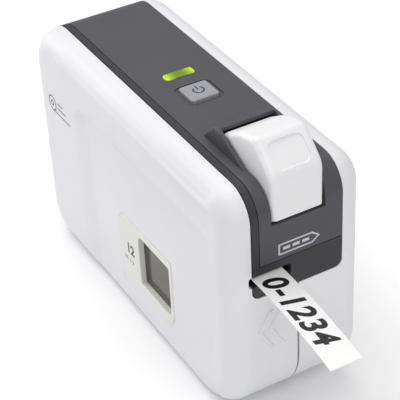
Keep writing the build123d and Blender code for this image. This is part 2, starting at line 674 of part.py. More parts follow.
def main_frame():
    strip = block(
        -STRIP_X + HALF_SEAM, PANEL_SEAM_X - HALF_SEAM, FRONT_WRAP_Y, FAR, BASE_TOP_Z + HALF_SEAM, FAR
    )
    front_strip = front_zone(-HALF_SEAM) & block(-FAR, PANEL_SEAM_X - HALF_SEAM, -FAR, FAR, 0, FAR)
    front = front_zone(-HALF_SEAM) & block(-FAR, FAR, -FAR, FAR, 0, PANEL_Z - HALF_SEAM)
    frame = SHELL & (strip + front_strip + front)
    frame += centre_wall()
    frame += bay()
    inner_y = FRONT_Y + WALL
    frame += block(MID_X, MID_X1, inner_y - 0.2, inner_y + 4, CHIN_Z + 1, PANEL_Z - 2)
    cheek_x = LEVER_LEFT - CHEEK_T
    frame += pivot_cheek(cheek_x, LEVER_LEFT) & block(-FAR, FAR, -FAR, FAR, CARRIER_Z1 + 0.6, FAR)
    frame += block(cheek_x, LEVER_LEFT, inner_y + 0.4, PIVOT_Y + 1.0, SLOT_Z1 + 1.0, PIVOT_Z)
    frame += block(cheek_x, LEVER_LEFT, inner_y - 0.2, inner_y + 1, SLOT_Z1 + 0.6, PANEL_Z - 0.6)
    frame += pivot_cheek(LEVER_RIGHT, LEVER_RIGHT + CHEEK_T)
    frame += guide_brackets()
    for y, z in SCREW_YZ:
        frame += rod_x(y, z, BOSS_R, MID_X, MID_X1 + 1.7)
        frame -= rod_x(y, z, SCREW_R, MID_X - 1, MID_X1 + 3)
    frame += standoffs()
    for centre in (STAGE1, STAGE2):
        frame += rod_x(centre[0], centre[1], POST_R + 1.2, MID_X, MID_X1 + GEAR_GAP * 0.4)
        frame -= rod_x(centre[0], centre[1], POST_R, MID_X - 1, MID_X1 + 1)
    frame -= rod_x(*PLATEN, PLATEN_SHAFT_R + RUNNING, MID_X - 1, MID_X1 + 1)
    frame -= rod_x(*RIBBON, SPINDLE_SHAFT_R + RUNNING, MID_X - 1, MID_X1 + 1)
    frame -= rod_x(PIVOT_Y, PIVOT_Z, PIVOT_PIN_R, LEVER_LEFT - 3, LEVER_LEFT + 0.1)
    frame -= rod_x(PIVOT_Y, PIVOT_Z, PIVOT_PIN_R, LEVER_RIGHT - 0.1, LEVER_RIGHT + 3)
    frame -= rod_x(PIVOT_Y, PIVOT_Z, PIVOT_PIN_R + 0.4, LEVER_LEFT + 0.1, LEVER_RIGHT - 0.1)
    frame -= tape_slot_cut()
    for low, high in (HINGE_LOW_Z, HINGE_HIGH_Z):
        frame_spans, cover_span = knuckle_spans(low, high)
        frame -= knuckle_relief(*cover_span)
        for z0, z1 in frame_spans:
            frame += knuckle(1, z0, z1)
        frame -= rod_z(HINGE_X, HINGE_Y, HINGE_PIN_R, low - 1, high + 1)
    return frame


def guide_brackets():
    """Upper and lower holders of the cutter's guide rod, and the seat of the lever spring."""
    y0, y1 = GUIDE_Y - 1.7, GUIDE_Y + 3.0
    x0 = GUIDE_X - GUIDE_HUB_R + 0.4
    right_x = MID_X + 0.2
    lower = block(x0, right_x, y0, y1, GUIDE_FOOT_Z, GUIDE_FOOT_Z + BRACKET_T)
    upper = block(x0, right_x, y0, y1, GUIDE_TOP_Z - BRACKET_T, GUIDE_TOP_Z)
    half = SPRING_R + 0.6
    seat_y = (SPRING_Y - half, SPRING_Y + half)
    seat = block(MID_X1 - 0.2, SPRING_X + half, *seat_y, SPRING_Z0 - BRACKET_T, SPRING_Z0)
    anvil_y = BLADE_BACK_Y + BLADE_SHEAR_GAP + BLADE_T
    anvil = block(BLADE_X0 + 1.0, right_x, anvil_y, anvil_y + ANVIL_T, ANVIL_Z0, ANVIL_Z0 + ANVIL_H)
    hole = rod_z(GUIDE_X, GUIDE_Y, GUIDE_R, GUIDE_FOOT_Z, GUIDE_TOP_Z + 1)
    return lower + upper + seat + anvil - hole


def standoff_places():
    return (
        polar(MOTOR, MOTOR_R + 4.0, 10.0),
        polar(STAGE2, MODULE * STAGE2_TEETH / 2 + 6.0, 60.0),
        polar(STAGE1, MODULE * STAGE1_TEETH / 2 + 5.0, 215.0),
    )


def standoffs():
    """Pillars on the centre wall that carry the gear plate."""
    pillars = [rod_x(y, z, STANDOFF_R, MID_X1 - 0.2, GEAR_PLATE_X) for y, z in standoff_places()]
    return pillars[0] + pillars[1] + pillars[2]


# ================================================================ top panel
def hood_outline(inset):
    """Side profile of the raised collar behind the lever, down into the panel."""
    low = HEIGHT - WALL
    points = [
        (HOOD_BACK_Y - inset, low),
        (HOOD_BACK_Y - inset, HEIGHT),
        (HOOD_TOP_Y - inset / 2, HOOD_TOP_Z - inset),
        (HOOD_LIP_Y - 1.5, HOOD_TOP_Z - inset),
        (HOOD_FRONT_Y, HEIGHT),
        (HOOD_FRONT_Y, low),
    ]
    return make_face(Polyline(*points, close=True))


def lever_opening():
    """Clear room for the lever through the front and top of the panel, up to the collar's lip."""
    front_y = FRONT_Y - 5
    low = HEIGHT - WALL - 12
    front = block(LEVER_LEFT, LEVER_RIGHT, front_y, PIVOT_Y + 1, OPENING_Z, FAR)
    top = block(LEVER_LEFT, LEVER_RIGHT, front_y, HOOD_LIP_Y, low, FAR)
    under_hood = block(LEVER_LEFT, LEVER_RIGHT, front_y, HOOD_BACK_Y - HOOD_WALL - 0.6, low, HEIGHT)
    hollow = side_plate(hood_outline(HOOD_WALL), LEVER_LEFT, LEVER_RIGHT)
    return front + top + under_hood + hollow


def top_panel():
    zone = block(
        PANEL_SEAM_X + HALF_SEAM, STRIP_X - HALF_SEAM, -FAR, FAR, PANEL_Z + HALF_SEAM, FAR
    )
    panel = SHELL & zone
    hood = side_plate(hood_outline(0), LEVER_LEFT - HOOD_WALL, LEVER_RIGHT + HOOD_WALL)
    hood_edges = [e for e in hood.edges() if e.center().Z > HEIGHT + 0.5 and e.center().Y > HOOD_LIP_Y - 1]
    panel += fillet(hood_edges, HOOD_EDGE_R)
    panel -= lever_opening()
    panel -= control_recess() + control_hole() + lamp_hole()
    panel -= port_cut() + mode_cut()
    return panel


def rounded_block(x, y, width, depth, z0, z1, radius):
    """Block with rounded upright edges, centred on x and y."""
    solid = block(x - width / 2, x + width / 2, y - depth / 2, y + depth / 2, z0, z1)
    return fillet(solid.edges().filter_by(Axis.Z), radius)


def control_recess():
    return rounded_block(
        CONTROL_X, BUTTON_Y, BUTTON_W + 2 * RECESS_MARGIN, BUTTON_D + 2 * RECESS_MARGIN,
        HEIGHT - RECESS_DEPTH, HEIGHT + 1, BUTTON_R + RECESS_MARGIN,
    )


def control_hole():
    return rounded_block(
        CONTROL_X, BUTTON_Y, BUTTON_W + 2 * BUTTON_GAP, BUTTON_D + 2 * BUTTON_GAP,
        HEIGHT - WALL - 1, HEIGHT + 1, BUTTON_R + BUTTON_GAP,
    )


def lamp_hole():
    return rounded_block(CONTROL_X, LAMP_Y, LAMP_W, LAMP_D, HEIGHT - WALL - 1, HEIGHT + 1, LAMP_R)


def port_cut():
    return block(
        PORT_X - PORT_W / 2 - 0.4, PORT_X + PORT_W / 2 + 0.4, BACK_Y - WALL - 1, BACK_Y + 1,
        PORT_Z - PORT_H / 2 - 0.4, PORT_Z + PORT_H / 2 + 0.4,
    )


def mode_cut():
    half = (MODE_KNOB_W + MODE_TRAVEL) / 2 + 0.4
    return block(
        MODE_X - half, MODE_X + half, BACK_Y - WALL - 1, BACK_Y + 1,
        PORT_Z - MODE_KNOB_H / 2 - 0.3, PORT_Z + MODE_KNOB_H / 2 + 0.3,
    )


# ================================================================ top controls
def power_button():
    top = HEIGHT + BUTTON_PROUD
    cap = rounded_block(CONTROL_X, BUTTON_Y, BUTTON_W, BUTTON_D, BUTTON_FLANGE_Z - 0.2, top, BUTTON_R)
    cap = fillet(cap.edges().group_by(Axis.Z)[-1], 0.6)
    flange = rounded_block(
        CONTROL_X, BUTTON_Y, BUTTON_W + 2 * FLANGE_W, BUTTON_D + 2 * FLANGE_W,
        BUTTON_FLANGE_Z - FLANGE_T, BUTTON_FLANGE_Z, 1.0,
    )
    return cap + flange


def switch_plunger():
    z0 = BUTTON_BOARD_Z + BOARD_T + SWITCH_H - PLUNGER_SINK
    return rod_z(CONTROL_X, BUTTON_Y, PLUNGER_R, z0, BUTTON_FLANGE_Z - FLANGE_T)


def power_switch():
    z0 = BUTTON_BOARD_Z + BOARD_T
    body = rounded_block(CONTROL_X, BUTTON_Y, SWITCH_W, SWITCH_W, z0, z0 + SWITCH_H, 0.4)
    bore_z = z0 + SWITCH_H - PLUNGER_SINK - BUTTON_TRAVEL - 0.2
    return body - rod_z(CONTROL_X, BUTTON_Y, PLUNGER_R + RUNNING, bore_z, z0 + SWITCH_H + 1)


def button_board():
    x0 = CONTROL_X - 10.1
    x1 = CONTROL_X + 11.9
    return block(x0, x1, *BUTTON_BOARD_Y, BUTTON_BOARD_Z, BUTTON_BOARD_Z + BOARD_T)


def status_led():
    z0 = BUTTON_BOARD_Z + BOARD_T
    middles = (CONTROL_X - LED_X, CONTROL_X + LED_X)
    return [block(x - 1.6, x + 1.6, LAMP_Y - 1, LAMP_Y + 1, z0, z0 + 1.2) for x in middles]


def light_pipe():
    top = HEIGHT + LAMP_PROUD
    lens = rounded_block(CONTROL_X, LAMP_Y, LAMP_W, LAMP_D, HEIGHT - WALL - FLANGE_T, top, LAMP_R)
    lens = fillet(lens.edges().group_by(Axis.Z)[-1], 0.4)
    flange_z = HEIGHT - WALL
    flange = rounded_block(
        CONTROL_X, LAMP_Y, LAMP_W + 2 * FLANGE_W, LAMP_D + 2 * FLANGE_W, flange_z - FLANGE_T, flange_z, 1.0
    )
    leg = rounded_block(
        CONTROL_X, LAMP_Y, 2 * LED_X + 3.0, LAMP_D - 2.0, BUTTON_BOARD_Z + BOARD_T + 1.5, flange_z, 0.8
    )
    return lens + flange + leg


# ================================================================ cutter lever
def lever_outline():
    """Side profile: front, thumb slope, ridge, arched back and skirt round the pivot."""
    pivot = (PIVOT_Y, PIVOT_Z)
    back_deg = math.degrees(math.asin((LEVER_BACK_Z - PIVOT_Z) / SKIRT_R))
    front_low = (FRONT_Y, LEVER_FRONT_Z)
    front_in = (FRONT_Y + 4.0, LEVER_FRONT_Z)
    brow = (FRONT_Y, LEVER_BREAK_Z)
    ridge = (LEVER_RIDGE_Y, LEVER_RIDGE_Z)
    back = polar(pivot, SKIRT_R, back_deg)
    arch = ((ridge[0] + back[0]) / 2 + 0.5, (ridge[1] + back[1]) / 2 + 1.4)
    crown = FilletPolyline(
        front_low, brow, ridge, arch, back, radius=[LEVER_BROW_R, LEVER_RIDGE_R, LEVER_ARCH_R]
    )
    skirt_end = polar(pivot, SKIRT_R, SKIRT_LOW_DEG)
    skirt_in = polar(pivot, SKIRT_R - LEVER_WALL, SKIRT_LOW_DEG)
    edges = crown.edges() + [
        ThreePointArc(back, polar(pivot, SKIRT_R, (back_deg + SKIRT_LOW_DEG) / 2), skirt_end),
        Line(skirt_end, skirt_in),
        Line(skirt_in, front_in),
        Line(front_in, front_low),
    ]
    return make_face(edges)


def lever_hollow():
    """Room inside the lever, open below."""
    pivot = (PIVOT_Y, PIVOT_Z)
    inner_r = SKIRT_R - LEVER_WALL
    back_deg = math.degrees(math.asin((LEVER_BACK_Z - PIVOT_Z) / SKIRT_R)) - 3.0
    back = polar(pivot, inner_r, back_deg)
    low = polar(pivot, inner_r, SKIRT_LOW_DEG - 12)
    edges = [
        Line((FRONT_Y + LEVER_WALL, PIVOT_Z - 6), (FRONT_Y + LEVER_WALL, LEVER_BREAK_Z - 3.4)),
        Line((FRONT_Y + LEVER_WALL, LEVER_BREAK_Z - 3.4), (LEVER_RIDGE_Y, LEVER_RIDGE_Z - 4.0)),
        Line((LEVER_RIDGE_Y, LEVER_RIDGE_Z - 4.0), back),
        ThreePointArc(back, polar(pivot, inner_r, back_deg / 2), low),
        Line(low, (low[0], PIVOT_Z - 6)),
        Line((low[0], PIVOT_Z - 6), (FRONT_Y + LEVER_WALL, PIVOT_Z - 6)),
    ]
    return side_plate(make_face(edges), LEVER_X0 + LEVER_WALL, LEVER_X1 - LEVER_WALL)


def lever_cheek(x0, x1):
    """Side plate of the lever that reaches down to the pivot."""
    top = LEVER_FRONT_Z + 4.0
    points = [
        (PIVOT_Y - PIVOT_BOSS_R, PIVOT_Z), (PIVOT_Y + PIVOT_BOSS_R, PIVOT_Z),
        (PIVOT_Y + 9.0, top), (PIVOT_Y - PIVOT_BOSS_R, top),
    ]
    plate = side_plate(make_face(Polyline(*points, close=True)), x0, x1)
    return plate + rod_x(PIVOT_Y, PIVOT_Z, PIVOT_BOSS_R, x0, x1)


def cutter_lever():
    lever = side_plate(lever_outline(), LEVER_X0, LEVER_X1)
    outer = lever.edges().group_by(Axis.X)
    crown = [e for e in outer[0] + outer[-1] if e.center().Z > LEVER_FRONT_Z + 4 and e.length > 0.5]
    crown = [e for e in crown if e.center().Y < PIVOT_Y + SKIRT_R - 4]
    lever = fillet(crown, LEVER_EDGE_R)
    lever -= lever_hollow()
    lever += lever_cheek(LEVER_X0, LEVER_X0 + LEVER_WALL)
    lever += lever_cheek(LEVER_X1 - LEVER_WALL, LEVER_X1)
    lever += block(
        FIN_X0, FIN_X1, FOLLOWER_Y - 4.5, FOLLOWER_Y + 4.5, FOLLOWER_Z - 2.8, LEVER_BACK_Z + 1.0
    )
    lever += rod_z(SPRING_X, SPRING_Y, SPRING_R + 0.6, SPRING_Z1, LEVER_BACK_Z + 2.0)
    slot_r = FOLLOWER_R + FOLLOWER_PLAY
    slot_ends = (FOLLOWER_Y - FOLLOWER_SLOT, FOLLOWER_Y + FOLLOWER_SLOT)
    lever -= block(FIN_X0 - 1, FIN_X1 + 1, *slot_ends, FOLLOWER_Z - slot_r, FOLLOWER_Z + slot_r)
    for end_y in slot_ends:
        lever -= rod_x(end_y, FOLLOWER_Z, slot_r, FIN_X0 - 1, FIN_X1 + 1)
    lever -= rod_x(PIVOT_Y, PIVOT_Z, PIVOT_PIN_R + RUNNING, LEVER_X0 - 1, LEVER_X1 + 1)
    lever -= thumb_dish()
    return lever


def thumb_dish():
    middle_y, middle_z, dy, dz = thumb_place()
    length = math.hypot(dy, dz)
    along = Vector(0, dy / length, dz / length)
    normal = Vector(0, along.Z, -along.Y)
    if normal.Z < 0:
        normal = normal * -1
    x = (LEVER_X0 + LEVER_X1) / 2
    place = Plane(origin=(x, middle_y, middle_z), x_dir=(1, 0, 0), z_dir=normal)
    dish = Box(THUMB_W, THUMB_L, 2 * THUMB_DEEP)
    dish = fillet(dish.edges().filter_by(Axis.Z), THUMB_R)
    dish = fillet(dish.edges().group_by(Axis.Z)[0], THUMB_FLOOR_R)
    return place * dish


def lever_pivot_pin():
    return rod_x(PIVOT_Y, PIVOT_Z, PIVOT_PIN_R, LEVER_LEFT - CHEEK_T, LEVER_RIGHT + CHEEK_T)


def lever_spring():
    """Compression spring under the lever."""
    height = SPRING_Z1 - SPRING_Z0 - 2 * SPRING_WIRE_R - 0.1
    path = Helix(pitch=height / 5, height=height, radius=SPRING_R)
    start = path @ 0
    section = Plane(origin=start, z_dir=path % 0) * Circle(SPRING_WIRE_R)
    coil = sweep(section, path=path)
    return Pos(SPRING_X, SPRING_Y, SPRING_Z0 + SPRING_WIRE_R + 0.05) * coil


# ================================================================ cutter
def guide_rod():
    return rod_z(GUIDE_X, GUIDE_Y, GUIDE_R, GUIDE_FOOT_Z, GUIDE_TOP_Z)


def blade_carrier():
    front = BLADE_BACK_Y - BLADE_T - CARRIER_T
    body = block(BLADE_X0, GUIDE_X, front, BLADE_BACK_Y - BLADE_T, CARRIER_Z0, CARRIER_Z1)
    hub = rod_z(GUIDE_X, GUIDE_Y, GUIDE_HUB_R, CARRIER_Z0, FOLLOWER_Z - 0.3)
    half = FOLLOWER_R + 0.6
    arm = block(ARM_X0, ARM_X1, GUIDE_Y, FOLLOWER_Y + half, ARM_Z0, FOLLOWER_Z - 0.6)
    tip = block(ARM_X0, ARM_X1, FOLLOWER_Y - half, FOLLOWER_Y + half, ARM_Z0, FOLLOWER_Z + half)
    pin = rod_x(FOLLOWER_Y, FOLLOWER_Z, FOLLOWER_R, ARM_X0, FIN_X1)
    carrier = body + hub + arm + tip + pin
    carrier -= block(
        BLADE_X0 - 1, BLADE_X1 + 0.1, BLADE_BACK_Y - BLADE_T, BLADE_BACK_Y + 1,
        CARRIER_Z0 - 1, BLADE_TOP_Z + 0.1,
    )
    return carrier - rod_z(GUIDE_X, GUIDE_Y, GUIDE_R + RUNNING, CARRIER_Z0 - 1, FOLLOWER_Z + 1)


def moving_blade():
    front = BLADE_BACK_Y - BLADE_T
    corners = [
        (BLADE_X0, BLADE_EDGE_Z), (BLADE_X1, BLADE_EDGE_Z + BLADE_SLOPE),
        (BLADE_X1, BLADE_TOP_Z), (BLADE_X0, BLADE_TOP_Z),
    ]
    start = Plane(origin=(0, BLADE_BACK_Y, 0), x_dir=(1, 0, 0), z_dir=(0, -1, 0))
    blade = extrude(start * make_face(Polyline(*corners, close=True)), amount=BLADE_BACK_Y - front)
    lower = [e for e in blade.edges() if e.center().Z < BLADE_EDGE_Z + BLADE_SLOPE and e.length > 5]
    nose = [e for e in lower if e.center().Y < BLADE_BACK_Y - BLADE_T / 2]
    return chamfer(nose, BLADE_T * 0.8, BLADE_T * 0.8)


def fixed_blade():
    y0 = BLADE_BACK_Y + BLADE_SHEAR_GAP
    return block(BLADE_X0, BLADE_X1 - 0.4, y0, y0 + BLADE_T, ANVIL_Z0, TAPE_Z - TAPE_T - 0.15)


# ================================================================ feed
def platen_shaft():
    return rod_x(*PLATEN, PLATEN_SHAFT_R, PLATEN_X0, LAYER2_X + GEAR_W)


def platen_roller():
    tube = rod_x(*PLATEN, PLATEN_R, PLATEN_X0 + 0.5, PLATEN_X1)
    return tube - rod_x(*PLATEN, PLATEN_SHAFT_R, PLATEN_X0 - 1, PLATEN_X1 + 1)


def platen_gear():
    return gear(PLATEN_TEETH, PLATEN_ANGLE, PLATEN, LAYER2_X, PLATEN_SHAFT_R)


def stage1_gear():
    large = gear(STAGE1_TEETH, STAGE1_ANGLE, STAGE1, LAYER1_X, POST_R + RUNNING)
    small = gear(STAGE1_PINION_TEETH, STAGE1_ANGLE, STAGE1, LAYER2_X, POST_R + RUNNING)
    spacer_r = MODULE * STAGE1_PINION_TEETH / 2 - 1.0
    spacer = rod_x(*STAGE1, spacer_r, LAYER1_X + GEAR_W - 0.1, LAYER2_X + 0.1)
    bore = rod_x(*STAGE1, POST_R + RUNNING, LAYER1_X - 1, LAYER2_X + GEAR_W + 1)
    return large + small + spacer - bore


def stage2_gear():
    wheel = gear(STAGE2_TEETH, STAGE2_ANGLE, STAGE2, LAYER2_X, POST_R + RUNNING)
    hub = rod_x(*STAGE2, POST_R + 0.7, LAYER1_X, LAYER2_X + 0.1)
    web = rod_x(*STAGE2, MODULE * STAGE2_TEETH / 2 - 3.0, LAYER2_X - 1, LAYER2_X + 0.8)
    web -= rod_x(*STAGE2, POST_R + 1.4, LAYER2_X - 2, LAYER2_X + 1)
    bore = rod_x(*STAGE2, POST_R + RUNNING, LAYER1_X - 1, LAYER2_X + GEAR_W)
    return wheel - web + hub - bore


def gear_posts():
    return [rod_x(*centre, POST_R, MID_X, GEAR_PLATE_X + GEAR_PLATE_T) for centre in (STAGE1, STAGE2)]


def gear_plate():
    """Steel plate that holds the motor and the outer ends of the gear posts."""
    places = [STAGE1, STAGE2, MOTOR] + list(standoff_places())
    y0 = min(p[0] for p in places) - GEAR_PLATE_MARGIN
    y1 = max(p[0] for p in places) + GEAR_PLATE_MARGIN
    z0 = min(p[1] for p in places) - GEAR_PLATE_MARGIN - MOTOR_R / 2
    z1 = max(p[1] for p in places) + GEAR_PLATE_MARGIN
    plate = side_plate(
        rectangle_yz(y0, y1, z0, z1, [3.0] * 4), GEAR_PLATE_X, GEAR_PLATE_X + GEAR_PLATE_T
    )
    for centre in (STAGE1, STAGE2):
        plate -= rod_x(*centre, POST_R, GEAR_PLATE_X - 1, GEAR_PLATE_X + 2)
    plate -= rod_x(*MOTOR, MOTOR_SHAFT_R + 1.5, GEAR_PLATE_X - 1, GEAR_PLATE_X + 2)
    for y, z in standoff_places():
        plate -= rod_x(y, z, PLATE_SCREW_R, GEAR_PLATE_X - 1, GEAR_PLATE_X + 2)
    return plate


def plate_screws():
    screws = []
    for y, z in standoff_places():
        head_x = GEAR_PLATE_X + GEAR_PLATE_T
        shank = rod_x(y, z, PLATE_SCREW_R, GEAR_PLATE_X, head_x)
        screws.append(shank + rod_x(y, z, PLATE_SCREW_HEAD_R, head_x, head_x + 1.2))
    return screws


def feed_motor():
    x0 = GEAR_PLATE_X + GEAR_PLATE_T
    can = rod_x(*MOTOR, MOTOR_R, x0, x0 + MOTOR_L)
    can = fillet(can.edges().filter_by(GeomType.CIRCLE).sort_by(Axis.X)[-1], 1.2)
    end_boss = rod_x(*MOTOR, MOTOR_BOSS_R, x0 + MOTOR_L - 0.1, x0 + MOTOR_L + 0.8)
    return can + end_boss - rod_x(*MOTOR, MOTOR_SHAFT_R + RUNNING, x0 - 1, x0 + 4.0)


def motor_shaft():
    return rod_x(*MOTOR, MOTOR_SHAFT_R, LAYER1_X, GEAR_PLATE_X + GEAR_PLATE_T + 3.8)


def motor_pinion():
    return gear(PINION_TEETH, MOTOR_ANGLE, MOTOR, LAYER1_X, MOTOR_SHAFT_R)


def ribbon_gear():
    return gear(RIBBON_TEETH, RIBBON_ANGLE, RIBBON, LAYER1_X, SPINDLE_SHAFT_R)


def ribbon_spindle():
    """Splined spindle that turns the cassette's ribbon spool."""
    tip_x = CASSETTE_X0 + 2.0
    spindle = rod_x(*RIBBON, SPINDLE_R, tip_x, MID_X - 0.3)
    spindle = chamfer(spindle.edges().sort_by(Axis.X)[0], 0.8)
    spindle += rod_x(*RIBBON, SPINDLE_SHAFT_R, MID_X - 0.4, LAYER1_X + GEAR_W)
    for i in range(SPINDLE_SPLINES):
        angle = 360 / SPINDLE_SPLINES * i
        spline = block(tip_x + 1.5, MID_X - 0.8, -0.4, 0.4, SPINDLE_R - 0.4, SPINDLE_R + 0.6)
        spindle += Pos(0, RIBBON[0], RIBBON[1]) * Rot(angle, 0, 0) * spline
    return spindle


def heat_sink():
    top = TAPE_Z - TAPE_T - HEAD_GAP - HEAD_T
    sink = block(BLADE_X0 + 1, MID_X, PLATEN_Y - SINK_L / 2, PLATEN_Y + SINK_L / 2, top - SINK_H, top)
    for i in range(SINK_FINS):
        groove_z = top - 2.2 - SINK_PITCH * i
        sink -= block(BLADE_X0, MID_X - 2, PLATEN_Y + 1.0, PLATEN_Y + SINK_L, groove_z - 0.5, groove_z + 0.5)
    return sink


def print_head():
    top = TAPE_Z - TAPE_T - HEAD_GAP
    return block(TAPE_X0, TAPE_X1 + 4, PLATEN_Y - HEAD_L / 2, PLATEN_Y + HEAD_L / 2, top - HEAD_T, top)


# ================================================================ tape cassette
def cassette_outline(inset):
    return rectangle_yz(
        CASSETTE_Y0 + inset, CASSETTE_Y1 - inset, CASSETTE_Z0 + inset, CASSETTE_Z1 - inset,
        [CASSETTE_R - inset] * 4,
    )


def tape_exit_cut():
    """Mouth in the cassette's front wall where the tape comes out."""
    return block(
        TAPE_X0 - 0.5, TAPE_X1 + 0.5, CASSETTE_Y0 - 1, CASSETTE_Y0 + 2.5,
        TAPE_Z - TAPE_T - 0.8, TAPE_Z + 0.5,
    )


def cassette_body():
    """Right half of the cassette: its back face and the walls round it."""
    split_x = CASSETTE_X0 + CASSETTE_WALL
    body = side_plate(cassette_outline(0), split_x, CASSETTE_X1)
    body -= side_plate(cassette_outline(CASSETTE_WALL), split_x - 1, CASSETTE_X1 - CASSETTE_WALL)
    body -= rod_x(*RIBBON, SPINDLE_R + HOLE_PLAY, CASSETTE_X0, CASSETTE_X1 + 1)
    body += rod_x(ROLL_Y, ROLL_Z, ROLL_BORE_R - 0.3, split_x, CASSETTE_X1 - CASSETTE_WALL + 0.1)
    return body - tape_exit_cut()


def cassette_lid():
    """Left face of the cassette, seen through the cover's window."""
    lid = side_plate(cassette_outline(0), CASSETTE_X0, CASSETTE_X0 + CASSETTE_WALL)
    lid -= rod_x(*RIBBON, SPINDLE_R + HOLE_PLAY, CASSETTE_X0 - 1, CASSETTE_X1)
    slot = rectangle_yz(ROLL_Y - 8.0, ROLL_Y - 4.0, ROLL_Z - 12.0, ROLL_Z + 12.0, [1.8] * 4)
    return lid - side_plate(slot, CASSETTE_X0 - 1, CASSETTE_X1)


def tape_roll():
    tube = rod_x(ROLL_Y, ROLL_Z, ROLL_R, TAPE_X0, TAPE_X1)
    return tube - rod_x(ROLL_Y, ROLL_Z, ROLL_HUB_R, TAPE_X0 - 1, TAPE_X1 + 1)


def tape_core():
    tube = rod_x(ROLL_Y, ROLL_Z, ROLL_HUB_R - WOUND_PLAY, TAPE_X0, TAPE_X1)
    return tube - rod_x(ROLL_Y, ROLL_Z, ROLL_BORE_R, TAPE_X0 - 1, TAPE_X1 + 1)


def tape_web():
    """Stretch of tape from the cassette's mouth, under the platen, to the cutter."""
    return block(TAPE_X0, TAPE_X1, BLADE_BACK_Y + 0.2, CASSETTE_Y0 + 1.6, TAPE_Z - TAPE_T, TAPE_Z)


def label_strip():
    """Printed label standing out of the slot, drooping a little under its own weight."""
    inner = BLADE_BACK_Y - BLADE_T - 0.2
    out_y = FRONT_Y - LABEL_OUT
    top = Line((inner, TAPE_Z), (FRONT_Y, TAPE_Z)) + TangentArc(
        (FRONT_Y, TAPE_Z), (out_y, TAPE_Z - LABEL_DROOP), tangent=(-1, 0)
    )
    under = Pos(0, -TAPE_T) * top
    ends = Line((inner, TAPE_Z), (inner, TAPE_Z - TAPE_T)) + Line(
        (out_y, TAPE_Z - LABEL_DROOP), (out_y, TAPE_Z - LABEL_DROOP - TAPE_T)
    )
    return side_plate(make_face(top.edges() + under.edges() + ends.edges()), TAPE_X0, TAPE_X1)


# ================================================================ electronics
def main_board():
    y0, y1 = MAIN_BOARD_Y
    z0, z1 = MAIN_BOARD_Z
    return block(MAIN_BOARD_X, MAIN_BOARD_X + BOARD_T, y0, y1, z0, z1)


def board_chips():
    """Processor, driver, memory and connectors on the main board."""
    from_corner = (
        (40.0, 18.0, 14.0, 14.0, 1.6),
        (64.0, 18.0, 10.0, 6.0, 1.4),
        (64.0, 30.0, 8.0, 5.0, 1.2),
        (21.0, 6.5, 10.0, 5.0, 5.0),
    )
    y0 = MAIN_BOARD_Y[0]
    z0 = MAIN_BOARD_Z[0]
    chips = []
    for along, up, length, height, thick in from_corner:
        y = y0 + along - length / 2
        z = z0 + up - height / 2
        chips.append(block(MAIN_BOARD_X - thick, MAIN_BOARD_X, y, y + length, z, z + height))
    for along in (84.0, 94.0):
        chips.append(rod_x(y0 + along, z0 + 14.0, 3.2, MAIN_BOARD_X - 7.0, MAIN_BOARD_X))
    return chips


def rear_board():
    x0 = MODE_X - 7.0
    x1 = PORT_X + 8.0
    return block(x0, x1, REAR_BOARD_Y - BOARD_T, REAR_BOARD_Y, PORT_Z - 5.0, PORT_Z + 10.0)


def usb_port():
    """Metal socket open to the rear, with a plastic tongue inside."""
    x0, x1 = PORT_X - PORT_W / 2, PORT_X + PORT_W / 2
    z0, z1 = PORT_Z - PORT_H / 2, PORT_Z + PORT_H / 2
    mouth_y = REAR_BOARD_Y + PORT_L
    shell = block(x0, x1, REAR_BOARD_Y, mouth_y, z0, z1)
    shell -= block(
        x0 + PORT_WALL, x1 - PORT_WALL, REAR_BOARD_Y + 0.8, mouth_y + 1, z0 + PORT_WALL, z1 - PORT_WALL
    )
    tongue = block(x0 + 1.6, x1 - 1.6, REAR_BOARD_Y + 0.7, mouth_y - 1, PORT_Z - 0.4, PORT_Z + 0.4)
    return shell + tongue


def mode_switch():
    x0 = MODE_X - MODE_BODY_W / 2
    body = block(x0, x0 + MODE_BODY_W, REAR_BOARD_Y, REAR_BOARD_Y + 4.0, PORT_Z - 2.0, PORT_Z + 2.0)
    half = (MODE_KNOB_W + MODE_TRAVEL) / 2 + 0.1
    return body - block(
        MODE_X - half, MODE_X + half, REAR_BOARD_Y + 1.5, REAR_BOARD_Y + 5, PORT_Z - 1.3, PORT_Z + 1.3
    )


def mode_knob():
    x0 = MODE_X - (MODE_KNOB_W + MODE_TRAVEL) / 2
    knob = block(
        x0, x0 + MODE_KNOB_W, REAR_BOARD_Y + 1.8, BACK_Y - 0.3,
        PORT_Z - MODE_KNOB_H / 2, PORT_Z + MODE_KNOB_H / 2,
    )
    for i in range(3):
        groove_x = x0 + MODE_KNOB_W * (i + 1) / 4
        knob -= block(groove_x - 0.15, groove_x + 0.15, BACK_Y - 0.6, BACK_Y, PORT_Z - 3, PORT_Z + 3)
    return knob


def head_flex():
    """Flat ribbon cable of the print head, lying on the front of the heat sink."""
    sink_foot = TAPE_Z - TAPE_T - HEAD_GAP - HEAD_T - SINK_H
    sink_y = PLATEN_Y - SINK_L / 2
    return block(TAPE_X + 2.0, TAPE_X + 10.0, sink_y - 0.2, sink_y, sink_foot - 2, sink_foot + 4)


# ================================================================ batteries
def battery_tray():
    tray = block(TRAY_X0, TRAY_X1, TRAY_Y0, TRAY_Y1, TRAY_Z0, TRAY_Z1)
    return tray - block(
        TRAY_X0 + TRAY_WALL, TRAY_X1 - TRAY_WALL, TRAY_Y0 + TRAY_WALL, TRAY_Y1 + 1,
        TRAY_Z0 + TRAY_WALL, TRAY_Z1 - TRAY_WALL,
    )


def cell_places():
    return [(CELL_X + CELL_PITCH * i, y) for i in (-1, 0, 1) for y in CELL_ROWS_Y]


